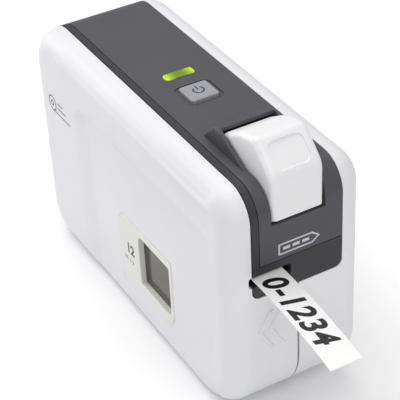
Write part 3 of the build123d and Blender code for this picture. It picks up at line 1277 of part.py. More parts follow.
def battery_cells():
    z0 = TRAY_Z0 + TRAY_WALL + CONTACT_SPACE
    top = z0 + CELL_L
    cells = []
    for x, y in cell_places():
        can = rod_z(x, y, CELL_R, z0, top - 0.8)
        can = fillet(can.edges().filter_by(GeomType.CIRCLE), 0.5)
        cells.append(can + rod_z(x, y, CELL_CAP_R, top - 1.0, top))
    return cells


def battery_contacts():
    """Plated strips at both ends of each pair of cells."""
    low_z = TRAY_Z0 + TRAY_WALL
    high_z = TRAY_Z1 - TRAY_WALL - CONTACT_SPACE
    y0 = CELL_ROWS_Y[0] - 4.0
    y1 = CELL_ROWS_Y[1] + 4.0
    half = CONTACT_W / 2
    strips = []
    for i in (-1, 0, 1):
        x = CELL_X + CELL_PITCH * i
        strips.append(block(x - half, x + half, y0, y1, low_z, low_z + CONTACT_SPACE))
        strips.append(block(x - half, x + half, y0, y1, high_z, high_z + CONTACT_SPACE))
    return strips


def battery_door():
    x0 = PANEL_SEAM_X + HALF_SEAM
    x1 = STRIP_X - HALF_SEAM
    door = SHELL & block(x0, x1, 0, FAR, BASE_TOP_Z + HALF_SEAM, PANEL_Z - HALF_SEAM)
    middle = (x0 + x1) / 2
    for i in range(GRIP_RIBS):
        groove_z = PANEL_Z - 8.0 + 2.0 * i
        door -= block(middle - 6.5, middle + 6.5, BACK_Y - 0.6, BACK_Y + 1, groove_z, groove_z + 0.8)
    return door


def cover_catch():
    """Spring clip behind the cover's hook."""
    y = FRONT_Y + WALL + HOOK_L + CATCH_T
    z0 = HOOK_Z - CATCH_H / 2
    z1 = HOOK_Z + CATCH_H / 2
    leaf_spring = block(HOOK_X0, MID_X, y, y + CATCH_T, z0, z1)
    foot = block(MID_X - CATCH_T, MID_X, y, y + 5.0, z0, z1)
    return leaf_spring + foot


# ================================================================ write the parts
PIECES = {
    "cassette_cover": cassette_cover,
    "window_plate": window_plate,
    "cassette_window": cassette_window,
    "cover_hinge_pins": cover_hinge_pins,
    "cover_catch": cover_catch,
    "right_housing": right_housing,
    "base_pads": base_pads,
    "housing_screws": housing_screws,
    "main_frame": main_frame,
    "top_panel": top_panel,
    "power_button": power_button,
    "switch_plunger": switch_plunger,
    "power_switch": power_switch,
    "button_board": button_board,
    "status_led": status_led,
    "light_pipe": light_pipe,
    "cutter_lever": cutter_lever,
    "lever_pivot_pin": lever_pivot_pin,
    "lever_spring": lever_spring,
    "guide_rod": guide_rod,
    "blade_carrier": blade_carrier,
    "moving_blade": moving_blade,
    "fixed_blade": fixed_blade,
    "platen_shaft": platen_shaft,
    "platen_roller": platen_roller,
    "platen_gear": platen_gear,
    "stage1_gear": stage1_gear,
    "stage2_gear": stage2_gear,
    "gear_posts": gear_posts,
    "gear_plate": gear_plate,
    "plate_screws": plate_screws,
    "feed_motor": feed_motor,
    "motor_shaft": motor_shaft,
    "motor_pinion": motor_pinion,
    "ribbon_gear": ribbon_gear,
    "ribbon_spindle": ribbon_spindle,
    "heat_sink": heat_sink,
    "print_head": print_head,
    "head_flex": head_flex,
    "cassette_body": cassette_body,
    "cassette_lid": cassette_lid,
    "tape_roll": tape_roll,
    "tape_core": tape_core,
    "tape_web": tape_web,
    "label_strip": label_strip,
    "main_board": main_board,
    "board_chips": board_chips,
    "rear_board": rear_board,
    "usb_port": usb_port,
    "mode_switch": mode_switch,
    "mode_knob": mode_knob,
    "battery_tray": battery_tray,
    "battery_cells": battery_cells,
    "battery_contacts": battery_contacts,
    "battery_door": battery_door,
}

os.makedirs("parts", exist_ok=True)
for name, make in PIECES.items():
    made = make()
    if isinstance(made, list):
        made = Compound(children=made)
    export_step(made, f"parts/{name}.step")
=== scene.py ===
import json
import math

import bmesh
import bpy
import mathutils
from mathutils import Matrix, Vector


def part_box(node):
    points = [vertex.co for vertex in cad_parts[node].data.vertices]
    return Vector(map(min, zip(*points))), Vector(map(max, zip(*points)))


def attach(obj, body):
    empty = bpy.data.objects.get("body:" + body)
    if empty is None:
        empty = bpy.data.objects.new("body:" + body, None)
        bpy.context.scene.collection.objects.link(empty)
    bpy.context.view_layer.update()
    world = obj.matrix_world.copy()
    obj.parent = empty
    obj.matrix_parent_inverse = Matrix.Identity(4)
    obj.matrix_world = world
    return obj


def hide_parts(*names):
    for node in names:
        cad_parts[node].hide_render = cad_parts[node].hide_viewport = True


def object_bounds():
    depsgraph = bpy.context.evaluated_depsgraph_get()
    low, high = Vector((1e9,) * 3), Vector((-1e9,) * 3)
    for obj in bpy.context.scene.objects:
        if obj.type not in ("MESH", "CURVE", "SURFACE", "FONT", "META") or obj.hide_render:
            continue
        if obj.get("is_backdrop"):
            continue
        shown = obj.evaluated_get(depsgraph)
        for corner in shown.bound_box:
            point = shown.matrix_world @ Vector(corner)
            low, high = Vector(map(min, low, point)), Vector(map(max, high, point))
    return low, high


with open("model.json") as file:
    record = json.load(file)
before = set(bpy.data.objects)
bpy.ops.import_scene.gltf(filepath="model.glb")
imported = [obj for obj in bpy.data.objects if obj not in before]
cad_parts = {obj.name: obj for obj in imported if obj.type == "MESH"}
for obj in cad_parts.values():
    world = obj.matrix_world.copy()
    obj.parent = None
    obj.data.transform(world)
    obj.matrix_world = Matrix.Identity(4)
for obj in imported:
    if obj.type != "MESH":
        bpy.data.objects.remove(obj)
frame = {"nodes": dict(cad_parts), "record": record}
cad_low, cad_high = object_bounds()
NODES = frame["nodes"]
MM = 0.001


# ---------------------------------------------------------------- colour and node helpers
def srgb(code):
    """Linear RGBA of an sRGB hex colour."""
    parts = [int(code[i:i + 2], 16) / 255 for i in (1, 3, 5)]
    linear = [c / 12.92 if c <= 0.04045 else ((c + 0.055) / 1.055) ** 2.4 for c in parts]
    return (*linear, 1.0)


def add(tree, kind, values=None, links=None, **settings):
    """Add one node with its settings, socket values and incoming links."""
    made = tree.nodes.new(kind)
    for name, value in settings.items():
        setattr(made, name, value)
    for socket, value in (values or {}).items():
        made.inputs[socket].default_value = value
    for socket, source in (links or {}).items():
        tree.links.new(source, made.inputs[socket])
    return made


def new_material(name):
    """Empty node material: gives the material, its tree and its Principled shader."""
    material = bpy.data.materials.new(name)
    material.use_nodes = True
    tree = material.node_tree
    return material, tree, tree.nodes["Principled BSDF"]


def per_mm(size_mm):
    """Texture scale, in object metres, that gives features of a real size in millimetres."""
    return 1 / (size_mm * MM)


# ---------------------------------------------------------------- materials
FLOW_MM = 38.0      # size of the cloudy flow shading in a moulding


def moulded_plastic(name, colour, shade, roughness, grain_mm, grain_depth_mm, gloss=0.5):
    """Plastic moulded in a spark-eroded tool.

    The eye gets an even, very fine grain that blurs reflections, and faint flow shading.
    """
    material, tree, shader = new_material(name)
    place = add(tree, "ShaderNodeTexCoord").outputs["Object"]
    grain_values = {"Scale": per_mm(grain_mm), "Detail": 3.0, "Roughness": 0.6}
    grain = add(tree, "ShaderNodeTexNoise", grain_values, {"Vector": place})
    flow_values = {"Scale": per_mm(FLOW_MM), "Detail": 2.0}
    flow = add(tree, "ShaderNodeTexNoise", flow_values, {"Vector": place})
    tint = add(tree, "ShaderNodeMix", {"A": srgb(colour), "B": srgb(shade)},
               {"Factor": flow.outputs["Fac"]}, data_type="RGBA")
    span = {"From Min": 0.3, "From Max": 0.7, "To Min": roughness - 0.04, "To Max": roughness + 0.05}
    handled = add(tree, "ShaderNodeMapRange", span, {"Value": flow.outputs["Fac"]})
    bump = add(tree, "ShaderNodeBump", {"Strength": 0.35, "Distance": grain_depth_mm * MM},
               {"Height": grain.outputs["Fac"]})
    tree.links.new(tint.outputs["Result"], shader.inputs["Base Color"])
    tree.links.new(handled.outputs["Result"], shader.inputs["Roughness"])
    tree.links.new(bump.outputs["Normal"], shader.inputs["Normal"])
    shader.inputs["IOR"].default_value = 1.54
    # a deep grain traps part of the sheen
    shader.inputs["Specular IOR Level"].default_value = gloss
    return material


def machined_metal(name, colour, roughness, line_mm, stretch):
    """Metal ground or drawn one way: fine parallel lines that stretch the highlights."""
    material, tree, shader = new_material(name)
    place = add(tree, "ShaderNodeTexCoord").outputs["Object"]
    lined = add(tree, "ShaderNodeMapping", {"Scale": stretch}, {"Vector": place})
    lines = add(tree, "ShaderNodeTexNoise", {"Scale": per_mm(line_mm), "Detail": 4.0},
                {"Vector": lined.outputs["Vector"]})
    span = {"To Min": roughness - 0.08, "To Max": roughness + 0.1}
    spread = add(tree, "ShaderNodeMapRange", span, {"Value": lines.outputs["Fac"]})
    depth = {"Strength": 0.2, "Distance": 0.02 * MM}
    bump = add(tree, "ShaderNodeBump", depth, {"Height": lines.outputs["Fac"]})
    shader.inputs["Base Color"].default_value = srgb(colour)
    shader.inputs["Metallic"].default_value = 1.0
    tree.links.new(spread.outputs["Result"], shader.inputs["Roughness"])
    tree.links.new(bump.outputs["Normal"], shader.inputs["Normal"])
    return material


def smoked_polycarbonate():
    """Polycarbonate sheet with a warm grey tint, polished on both faces and lightly rubbed."""
    material, tree, shader = new_material("smoked_polycarbonate")
    place = add(tree, "ShaderNodeTexCoord").outputs["Object"]
    haze = add(tree, "ShaderNodeTexNoise", {"Scale": per_mm(6.0), "Detail": 2.0}, {"Vector": place})
    rub_span = {"To Min": 0.05, "To Max": 0.12}
    rub = add(tree, "ShaderNodeMapRange", rub_span, {"Value": haze.outputs["Fac"]})
    shader.inputs["Base Color"].default_value = srgb("#6E6448")
    shader.inputs["IOR"].default_value = 1.58
    shader.inputs["Transmission Weight"].default_value = 0.92
    shader.inputs["Specular IOR Level"].default_value = 0.2
    tree.links.new(rub.outputs["Result"], shader.inputs["Roughness"])
    return material


def lit_lens():
    """Tinted acrylic light pipe lit from below, glowing; painted highlights make it brightest at its
    ends.
    """
    material, tree, shader = new_material("lit_green_acrylic")
    place = add(tree, "ShaderNodeTexCoord").outputs["Object"]
    axis = add(tree, "ShaderNodeSeparateXYZ", links={"Vector": place})
    low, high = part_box("light_pipe")
    middle = (low.x + high.x) / 2
    half = (high.x - low.x) / 2
    off = add(tree, "ShaderNodeMath", {1: middle}, {0: axis.outputs["X"]}, operation="SUBTRACT")
    reach = add(tree, "ShaderNodeMath", {1: half}, {0: off.outputs["Value"]}, operation="DIVIDE")
    twice = {0: reach.outputs["Value"], 1: reach.outputs["Value"]}
    away = add(tree, "ShaderNodeMath", links=twice, operation="MULTIPLY")
    # painted highlight: the tint and the glow brighten from the middle towards both ends, standing in
    # for the light the rounded ends catch
    span = {"From Min": 0.05, "From Max": 0.55}
    end_highlight = add(tree, "ShaderNodeMapRange", span, {"Value": away.outputs["Value"]})
    tint = add(tree, "ShaderNodeMix", {"A": srgb("#6F8800"), "B": srgb("#C2DE00")},
               {"Factor": end_highlight.outputs["Result"]}, data_type="RGBA")
    tree.links.new(tint.outputs["Result"], shader.inputs["Base Color"])
    tree.links.new(tint.outputs["Result"], shader.inputs["Emission Color"])
    shader.inputs["Emission Strength"].default_value = 0.12
    shader.inputs["Roughness"].default_value = 0.12
    shader.inputs["IOR"].default_value = 1.49
    shader.inputs["Coat Weight"].default_value = 0.5
    return material


def moulded_rubber():
    """Nitrile rubber from a blasted mould: dark, dry and slightly mottled."""
    material, tree, shader = new_material("moulded_nitrile_rubber")
    place = add(tree, "ShaderNodeTexCoord").outputs["Object"]
    grain = add(tree, "ShaderNodeTexNoise", {"Scale": per_mm(0.7), "Detail": 4.0}, {"Vector": place})
    tint = add(tree, "ShaderNodeMix", {"A": srgb("#242426"), "B": srgb("#353538")},
               {"Factor": grain.outputs["Fac"]}, data_type="RGBA")
    depth = {"Strength": 0.4, "Distance": 0.05 * MM}
    bump = add(tree, "ShaderNodeBump", depth, {"Height": grain.outputs["Fac"]})
    tree.links.new(tint.outputs["Result"], shader.inputs["Base Color"])
    tree.links.new(bump.outputs["Normal"], shader.inputs["Normal"])
    shader.inputs["Roughness"].default_value = 0.8
    return material


def laminated_film():
    """White polyester tape under a clear film: a soft sheen, and slight ripples from the rollers."""
    material, tree, shader = new_material("laminated_label_film")
    place = add(tree, "ShaderNodeTexCoord").outputs["Object"]
    ripple = add(tree, "ShaderNodeTexNoise", {"Scale": per_mm(9.0), "Detail": 1.0}, {"Vector": place})
    tint = add(tree, "ShaderNodeMix", {"A": srgb("#FAFAF9"), "B": srgb("#F1F1F0")},
               {"Factor": ripple.outputs["Fac"]}, data_type="RGBA")
    depth = {"Strength": 0.15, "Distance": 0.1 * MM}
    bump = add(tree, "ShaderNodeBump", depth, {"Height": ripple.outputs["Fac"]})
    tree.links.new(tint.outputs["Result"], shader.inputs["Base Color"])
    tree.links.new(bump.outputs["Normal"], shader.inputs["Normal"])
    shader.inputs["Roughness"].default_value = 0.35
    shader.inputs["Coat Weight"].default_value = 0.3
    shader.inputs["Coat Roughness"].default_value = 0.15
    return material


def solder_mask():
    """Fibreglass board under green solder mask, with the weave just showing."""
    material, tree, shader = new_material("green_solder_mask")
    place = add(tree, "ShaderNodeTexCoord").outputs["Object"]
    threads = {"Scale": per_mm(1.2), "Color1": srgb("#1C5537"), "Color2": srgb("#226140")}
    weave = add(tree, "ShaderNodeTexChecker", threads, {"Vector": place})
    tree.links.new(weave.outputs["Color"], shader.inputs["Base Color"])
    shader.inputs["Roughness"].default_value = 0.3
    return material


# slot: name, colour, flow shade, roughness, grain size and grain depth in mm, sheen
MATERIALS = {
    "white_shell": moulded_plastic("moulded_white_abs", "#E6E6E8", "#E0E0E3", 0.42, 0.5, 0.02),
    "lever_white": moulded_plastic("moulded_lever_abs", "#EEEEEF", "#E8E8EA", 0.38, 0.5, 0.02),
    "plate_plastic": moulded_plastic("moulded_warm_white_abs", "#E6E6DF", "#DFDFD7", 0.45, 0.5, 0.02),
    "dark_shell": moulded_plastic("moulded_charcoal_abs", "#525156", "#4C4B50", 0.5, 0.6, 0.04, 0.25),
    "dark_frame": moulded_plastic("moulded_dark_frame_abs", "#3B3A3C", "#363537", 0.5, 0.6, 0.04, 0.25),
    "button_grey": moulded_plastic("moulded_button_grey_abs", "#9A9BA1", "#94959B", 0.4, 0.5, 0.02),
    "inner_plastic": moulded_plastic("moulded_grey_abs", "#BFC0C0", "#B5B6B6", 0.5, 0.6, 0.03),
    "black_plastic": moulded_plastic("moulded_black_abs", "#1E1E20", "#262628", 0.45, 0.6, 0.03),
    "gear_plastic": moulded_plastic("moulded_acetal", "#E9E4D2", "#E1DBC6", 0.35, 0.8, 0.01),
    "tape_core": moulded_plastic("moulded_polystyrene", "#D8D8D2", "#CFCFC8", 0.4, 0.8, 0.01),
    "cassette_shell": moulded_plastic("moulded_cassette_styrene", "#3A332B", "#2F2A24", 0.35, 0.7, 0.02),
    "chip": moulded_plastic("moulded_epoxy", "#1B1B1D", "#232325", 0.55, 0.4, 0.02),
    "cell_wrap": moulded_plastic("shrunk_cell_sleeve", "#5C6068", "#52565E", 0.25, 1.5, 0.01),
    "flex": moulded_plastic("polyimide_film", "#C98A3A", "#B97C30", 0.3, 1.0, 0.01),
    "ceramic": moulded_plastic("glazed_ceramic", "#D9D4C6", "#CEC9BA", 0.15, 1.5, 0.01),
    "steel": machined_metal("ground_steel", "#B9BCC0", 0.3, 0.3, (1.0, 1.0, 12.0)),
    "blade_steel": machined_metal("honed_blade_steel", "#C9CBCE", 0.22, 0.2, (1.0, 1.0, 10.0)),
    "plated": machined_metal("nickel_plate", "#D2D3D2", 0.2, 0.8, (1.0, 1.0, 1.0)),
    "aluminium": machined_metal("extruded_aluminium", "#C6C8CA", 0.35, 0.3, (12.0, 1.0, 1.0)),
    "rubber": moulded_rubber(),
    "label_film": laminated_film(),
    "smoked_window": smoked_polycarbonate(),
    "lamp_lens": lit_lens(),
    "board": solder_mask(),
}

for subpart in frame["record"]["subparts"]:
    NODES[subpart["node"]].data.materials.clear()
    NODES[subpart["node"]].data.materials.append(MATERIALS[subpart["material_slot"]])


# ---------------------------------------------------------------- casing sizes, in millimetres
low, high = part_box("right_housing")
SIDE_X = high.x / MM
FRONT_Y = low.y / MM
BACK_Y = high.y / MM
HEIGHT = high.z / MM
TOP_FRONT_R = 11.4
TOP_BACK_R = 17.3
BOTTOM_BACK_R = 15.5
BOTTOM_FRONT_R = 24.0
EDGE_R = 8.5
COVER_WALL = 1.5
COVER_EDGE_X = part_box("cassette_cover")[1].x / MM      # seam of the cover's front lip
STRIP_X = 18.0
HALF_SEAM = 0.25
CHIN_Z = 56.6
CHIN_R = 3.0


def smooth(value):
    """Soft step from 0 to 1."""
    t = min(max(value, 0.0), 1.0)
    return t * t * (3 - 2 * t)


def make_mesh(name, points, faces, material, body, sharp_deg=35.0):
    """Mesh piece from points in millimetres, smooth except at sharp edges, riding on a body."""
    mesh = bpy.data.meshes.new(name)
    mesh.from_pydata([Vector(p) * MM for p in points], [], faces)
    return finish_piece(name, mesh, material, body, sharp_deg)


def finish_piece(name, mesh, material, body, sharp_deg=35.0):
    """Merge doubles, turn faces outwards, mark sharp edges and hand the piece to its body."""
    work = bmesh.new()
    work.from_mesh(mesh)
    bmesh.ops.remove_doubles(work, verts=work.verts, dist=0.002 * MM)
    bmesh.ops.recalc_face_normals(work, faces=work.faces)
    limit = math.radians(sharp_deg)
    for edge in work.edges:
        edge.smooth = not (len(edge.link_faces) == 2 and edge.calc_face_angle() > limit)
    for face in work.faces:
        face.smooth = True
    work.to_mesh(mesh)
    work.free()
    mesh.materials.clear()
    mesh.materials.append(material)
    piece = bpy.data.objects.new(name, mesh)
    bpy.context.scene.collection.objects.link(piece)
    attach(piece, body)
    return piece


# ---------------------------------------------------------------- cassette cover
ARC_STEPS = 22
RUN_STEP = 2.0


def corner_arcs(inset):
    """Centre, radius and start angle of the four corners of the casing's side profile, set in."""
    corners = (
        (FRONT_Y, 0.0, BOTTOM_FRONT_R, 1, 1, 180),
        (BACK_Y, 0.0, BOTTOM_BACK_R, -1, 1, 270),
        (BACK_Y, HEIGHT, TOP_BACK_R, -1, -1, 0),
        (FRONT_Y, HEIGHT, TOP_FRONT_R, 1, -1, 90),
    )
    return [(y + sy * r, z + sz * r, r - inset, start) for y, z, r, sy, sz, start in corners]


def casing_profile(inset):
    """Closed side profile in (y, z), with the same number of points for any inset."""
    arcs = corner_arcs(inset)
    points = []
    for i, (cy, cz, radius, start) in enumerate(arcs):
        for k in range(ARC_STEPS + 1):
            angle = math.radians(start + 90 * k / ARC_STEPS)
            points.append((cy + radius * math.cos(angle), cz + radius * math.sin(angle)))
        ny, nz, next_r, next_start = arcs[(i + 1) % 4]
        angle = math.radians(next_start)
        end = (ny + next_r * math.cos(angle), nz + next_r * math.sin(angle))
        begin = points[-1]
        shares = FRONT_SHARES if i == 3 else [k / RUN_COUNTS[i] for k in range(1, RUN_COUNTS[i])]
        run_y, run_z = end[0] - begin[0], end[1] - begin[1]
        points += [(begin[0] + run_y * t, begin[1] + run_z * t) for t in shares]
    return points


RUN_COUNTS = [
    round((BACK_Y - FRONT_Y - BOTTOM_FRONT_R - BOTTOM_BACK_R) / RUN_STEP),
    round((HEIGHT - BOTTOM_BACK_R - TOP_BACK_R) / RUN_STEP),
    round((BACK_Y - FRONT_Y - TOP_BACK_R - TOP_FRONT_R) / RUN_STEP),
]


def front_shares():
    """Shares of the front's straight run, with points at the dark front's lower corner."""
    top = HEIGHT - TOP_FRONT_R
    run = top - BOTTOM_FRONT_R
    chin_top = CHIN_Z + CHIN_R
    radius = CHIN_R + HALF_SEAM
    heights = [chin_top - radius * math.sin(math.radians(a)) for a in range(0, 91, 10)]
    z = top - RUN_STEP
    while z > BOTTOM_FRONT_R + 0.5:
        if z > chin_top + 0.5 or z < CHIN_Z - 1:
            heights.append(z)
        z -= RUN_STEP
    return [(top - z) / run for z in sorted(heights, reverse=True)]


FRONT_SHARES = front_shares()

# sunk finger pad and shoulder of the cover's side
PAD_FRONT_Y = FRONT_Y + 12.0
PAD_REAR_Y = FRONT_Y + 118.0
PAD_TOP_Z = HEIGHT - 19.8
PAD_FRONT_R = 6.0
PAD_REAR_R = 13.0
PAD_DEEP = 1.4
PRINT_ROOM = 0.03        # the whole side lies this much inside the casing, for the print on it
PAD_FRONT_BEVEL = 2.6
PAD_TOP_BEVEL = 1.4
PAD_REAR_FADE = 17.0
PAD_FADE_START_Y = PAD_REAR_Y - 30.0     # from here back the pad's edge turns soft
PAD_FADE_RUN = 26.0
PAD_FADE_DROP = 16.0
PAD_FRONT_ZONE = 9.0
PAD_BLEND = 6.0
PAD_FOOT_Z = 1.5
PAD_FOOT_RUN = 7.0
SHOULDER_Z = HEIGHT - 7.6
SHOULDER_END_Y = FRONT_Y + 11.5
SHOULDER_END_RUN = 0.9
SHOULDER_SOFT_Y = FRONT_Y + 56.0
SHOULDER_RISE = 11.0
SHOULDER_RISE_Y = 33.0
SHOULDER_RISE_RUN = 26.0
SHOULDER_CURVE = 1.3
CREASE_W = 1.6
BAND_TOP_GAP = 0.6
BAND_TOP_W = 3.0
BAND_DEEP = 0.4          # sink above the crease, all along
BAND_FRONT_DEEP = 0.3    # and this much more towards the front
BAND_RUN = 30.0
UNDER_GAP = 0.7
UNDER_W = 1.2
UNDER_FADE = 7.0
UNDER_DEEP = 1.0         # sink of the groove under the crease
UNDER_RUN = 34.0


def pad_edge_distance(y, z):
    """Distance inside the finger pad's outline, which is open at the bottom."""
    front = y - PAD_FRONT_Y
    rear = PAD_REAR_Y - y
    top = PAD_TOP_Z - z
    if front < PAD_FRONT_R and top < PAD_FRONT_R:
        return PAD_FRONT_R - math.hypot(PAD_FRONT_R - front, PAD_FRONT_R - top)
    if rear < PAD_REAR_R and top < PAD_REAR_R:
        return PAD_REAR_R - math.hypot(PAD_REAR_R - rear, PAD_REAR_R - top)
    return min(front, rear, top)


def pad_bevel(y, z):
    """Width of the pad's sloping edge: broad in front, crisp on top, fading out behind."""
    rear_part = smooth((y - PAD_FADE_START_Y) / PAD_FADE_RUN) * smooth((PAD_TOP_Z - z) / PAD_FADE_DROP)
    near_front = smooth((PAD_FRONT_Y + PAD_FRONT_ZONE - y) / PAD_BLEND)
    front_part = near_front * smooth((PAD_TOP_Z + 1 - z) / PAD_BLEND)
    width = PAD_TOP_BEVEL + (PAD_FRONT_BEVEL - PAD_TOP_BEVEL) * front_part
    return width + (PAD_REAR_FADE - width) * rear_part


def cover_sink(y, z):
    """How far the cover's side lies below its plain face."""
    inside = pad_edge_distance(y, z)
    pad = PAD_DEEP * smooth(inside / pad_bevel(y, z)) * smooth((z - PAD_FOOT_Z) / PAD_FOOT_RUN)
    rise = smooth((y - SHOULDER_RISE_Y) / SHOULDER_RISE_RUN) ** SHOULDER_CURVE
    crease_z = SHOULDER_Z + SHOULDER_RISE * rise
    band = smooth((z - crease_z) / CREASE_W) * smooth((HEIGHT - BAND_TOP_GAP - z) / BAND_TOP_W)
    band *= BAND_DEEP + BAND_FRONT_DEEP * smooth((SHOULDER_SOFT_Y - y) / BAND_RUN)
    under = smooth((crease_z - UNDER_GAP - z) / UNDER_W)
    under *= smooth((z - PAD_TOP_Z - PAD_FOOT_Z) / UNDER_FADE)
    under *= UNDER_DEEP * smooth((SHOULDER_SOFT_Y - y) / UNDER_RUN)
    near_front = smooth((y - SHOULDER_END_Y) / SHOULDER_END_RUN)
    return PRINT_ROOM + pad + (band + under) * near_front


def leaf_outline(y0, y1, z0, z1, radius, small, steps=8):
    """Rectangle in (y, z) whose lower front and upper rear corners are well rounded."""
    corners = (
        (y0, z0, 1, 1, 180, radius), (y1, z0, -1, 1, 270, small),
        (y1, z1, -1, -1, 0, radius), (y0, z1, 1, -1, 90, small),
    )
    points = []
    for y, z, sy, sz, start, r in corners:
        for k in range(steps + 1):
            angle = math.radians(start + 90 * k / steps)
            points.append((y + sy * r + r * math.cos(angle), z + sz * r + r * math.sin(angle)))
    return points


def inside_outline(outline, y, z):
    inside = False
    for (y0, z0), (y1, z1) in zip(outline, outline[1:] + outline[:1]):
        if (z0 > z) != (z1 > z) and y < (y1 - y0) * (z - z0) / (z1 - z0) + y0:
            inside = not inside
    return inside


def in_region(outer, holes, y, z):
    return inside_outline(outer, y, z) and not any(inside_outline(h, y, z) for h in holes)


def fill_between(outer, holes, step, keep_off=0.7):
    """Triangles between an outline and its holes, with an even grid of points inside."""
    loops = [outer] + holes
    points = [Vector(p) for loop in loops for p in loop]
    edges = []
    start = 0
    for loop in loops:
        count = len(loop)
        edges += [(start + i, start + (i + 1) % count) for i in range(count)]
        start += count
    ys = [p[0] for p in outer]
    zs = [p[1] for p in outer]
    fixed = list(points)
    grid = mathutils.kdtree.KDTree(len(fixed))
    for i, p in enumerate(fixed):
        grid.insert((p.x, p.y, 0), i)
    grid.balance()
    row = 0
    z = min(zs) + step
    while z < max(zs):
        y = min(ys) + step * (0.5 if row % 2 else 1.0)
        while y < max(ys):
            if grid.find((y, z, 0))[2] > keep_off and in_region(outer, holes, y, z):
                points.append(Vector((y, z)))
            y += step
        z += step * 0.87
        row += 1
    made = mathutils.geometry.delaunay_2d_cdt(points, edges, [], 0, 1e-5)
    kept = []
    for face in made[2]:
        y = sum(made[0][i].x for i in face) / len(face)
        z = sum(made[0][i].y for i in face) / len(face)
        if in_region(outer, holes, y, z):
            kept.append(tuple(face))
    return [(p.x, p.y) for p in made[0]], kept


# window plate's places
PLATE_LOW, PLATE_HIGH = (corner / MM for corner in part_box("window_plate"))
GLASS_LOW, GLASS_HIGH = (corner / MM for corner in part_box("cassette_window"))
COLLAR_T = 1.2
PLATE_R = 6.0
PANE_R = 3.0
LEAF_CORNER_R = 0.8
PLATE_SEAT_X = PLATE_LOW.x + 0.6
SILL_W = 2.6
EDGE_RINGS = 20
LIP_NEAR = 3
LIP_WIDE = 8


def plate_leaf(grow, sill=0.0):
    return leaf_outline(
        PLATE_LOW.y - grow, PLATE_HIGH.y + grow, PLATE_LOW.z - grow - sill, PLATE_HIGH.z + grow,
        PLATE_R + grow, LEAF_CORNER_R,
    )


def pane_leaf(grow):
    """The pane's outline: the glass reaches the collar's outside, so it is set in from that."""
    inset = COLLAR_T - grow
    return leaf_outline(
        GLASS_LOW.y + inset, GLASS_HIGH.y - inset, GLASS_LOW.z + inset, GLASS_HIGH.z - inset,
        PANE_R + grow, LEAF_CORNER_R,
    )


def chin_edge(z):
    """Where the cover's front lip ends against the rounded lower corner of the dark front."""
    radius = CHIN_R + HALF_SEAM
    rise = CHIN_Z + CHIN_R - z
    return -(STRIP_X - CHIN_R) - math.sqrt(max(radius ** 2 - rise ** 2, 0.0))


def add_bands(points, faces, first, second, close=True):
    """Quads between two equally long rows of points."""
    start = len(points)
    count = len(first)
    points += first + second
    for i in range(count if close else count - 1):
        j = (i + 1) % count
        faces.append((start + i, start + j, start + count + j, start + count + i))


def cover_surface():
    """Outer surface of the cassette cover, from front lip over the rounded edge to the sunk pad."""
    points = []
    faces = []
    plain = casing_profile(0)
    count = len(plain)
    normals = []
    for i in range(count):
        ahead = plain[(i + 1) % count]
        behind = plain[i - 1]
        along = Vector((ahead[0] - behind[0], ahead[1] - behind[1])).normalized()
        normals.append((along.y, -along.x))
    rings = []
    for k in range(EDGE_RINGS + 1):
        angle = math.radians(90 * k / EDGE_RINGS)
        outline = casing_profile(EDGE_R * (1 - math.cos(angle)))
        ring = []
        for (y, z), (ny, nz) in zip(outline, normals):
            sink = cover_sink(y, z) * smooth((k - 1) / 5)
            side = math.cos(angle) * sink
            x = -SIDE_X + EDGE_R * (1 - math.sin(angle)) + math.sin(angle) * sink
            ring.append((x, y - ny * side, z - nz * side))
        rings.append(ring)
    for near, far in zip(rings, rings[1:]):
        add_bands(points, faces, near, far)

    face_outline = casing_profile(EDGE_R)
    rim = plate_leaf(0.35, SILL_W)
    flat, triangles = fill_between(face_outline, [rim], 0.85)
    start = len(points)
    points += [(-SIDE_X + cover_sink(y, z), y, z) for y, z in flat]
    faces += [tuple(start + i for i in face) for face in triangles]
    seat = plate_leaf(0.1)
    hole = pane_leaf(COLLAR_T + 0.1)
    rim_row = [(-SIDE_X + cover_sink(y, z), y, z) for y, z in rim]
    seat_row = [(PLATE_SEAT_X, y, z) for y, z in seat]
    add_bands(points, faces, rim_row, seat_row)
    floor_flat, floor_faces = fill_between(seat, [hole], 6.0)
    start = len(points)
    points += [(PLATE_SEAT_X, y, z) for y, z in floor_flat]
    faces += [tuple(start + i for i in face) for face in floor_faces]

    edge_row = [(-SIDE_X + EDGE_R, y, z) for y, z in plain]
    seam_row = [(-STRIP_X - HALF_SEAM, y, z) for y, z in plain]
    add_bands(points, faces, edge_row, seam_row)
    chin_top = CHIN_Z + CHIN_R
    chin_low = CHIN_Z - HALF_SEAM
    lip = [p for p in plain if p[0] < FRONT_Y + BOTTOM_FRONT_R + 0.01 and p[1] < chin_top + 0.001]
    lip.sort(key=lambda p: (p[1], -p[0]), reverse=True)
    near_rows = []
    wide_rows = []
    for y, z in lip:
        in_arc = z > chin_low + 0.001
        near_end = chin_edge(z) if in_arc else -(STRIP_X - CHIN_R)
        start_x = -STRIP_X - HALF_SEAM
        end_y = min(y, FRONT_Y + BOTTOM_FRONT_R - HALF_SEAM)
        step_x = near_end - start_x
        row = [(start_x + step_x * i / LIP_NEAR, end_y if i else y, z) for i in range(LIP_NEAR + 1)]
        near_rows.append(row)
        if not in_arc:
            span = COVER_EDGE_X - 2 * HALF_SEAM - near_end
            wide_rows.append([(near_end + span * i / LIP_WIDE, end_y, z) for i in range(LIP_WIDE + 1)])
    for rows in (near_rows, wide_rows):
        for above, below in zip(rows, rows[1:]):
            add_bands(points, faces, above, below, close=False)
    return points, faces


def prism(outline, axis, start, end):
    """Closed prism of an outline; axis is x for (y, z), y for (x, z) and z for (x, y) outlines."""
    def place(a, b, t):
        return {"x": (t, a, b), "y": (a, t, b), "z": (a, b, t)}[axis]
    count = len(outline)
    points = [place(a, b, start) for a, b in outline] + [place(a, b, end) for a, b in outline]
    faces = [tuple(range(count)), tuple(range(2 * count - 1, count - 1, -1))]
    faces += [(i, (i + 1) % count, count + (i + 1) % count, count + i) for i in range(count)]
    return points, faces


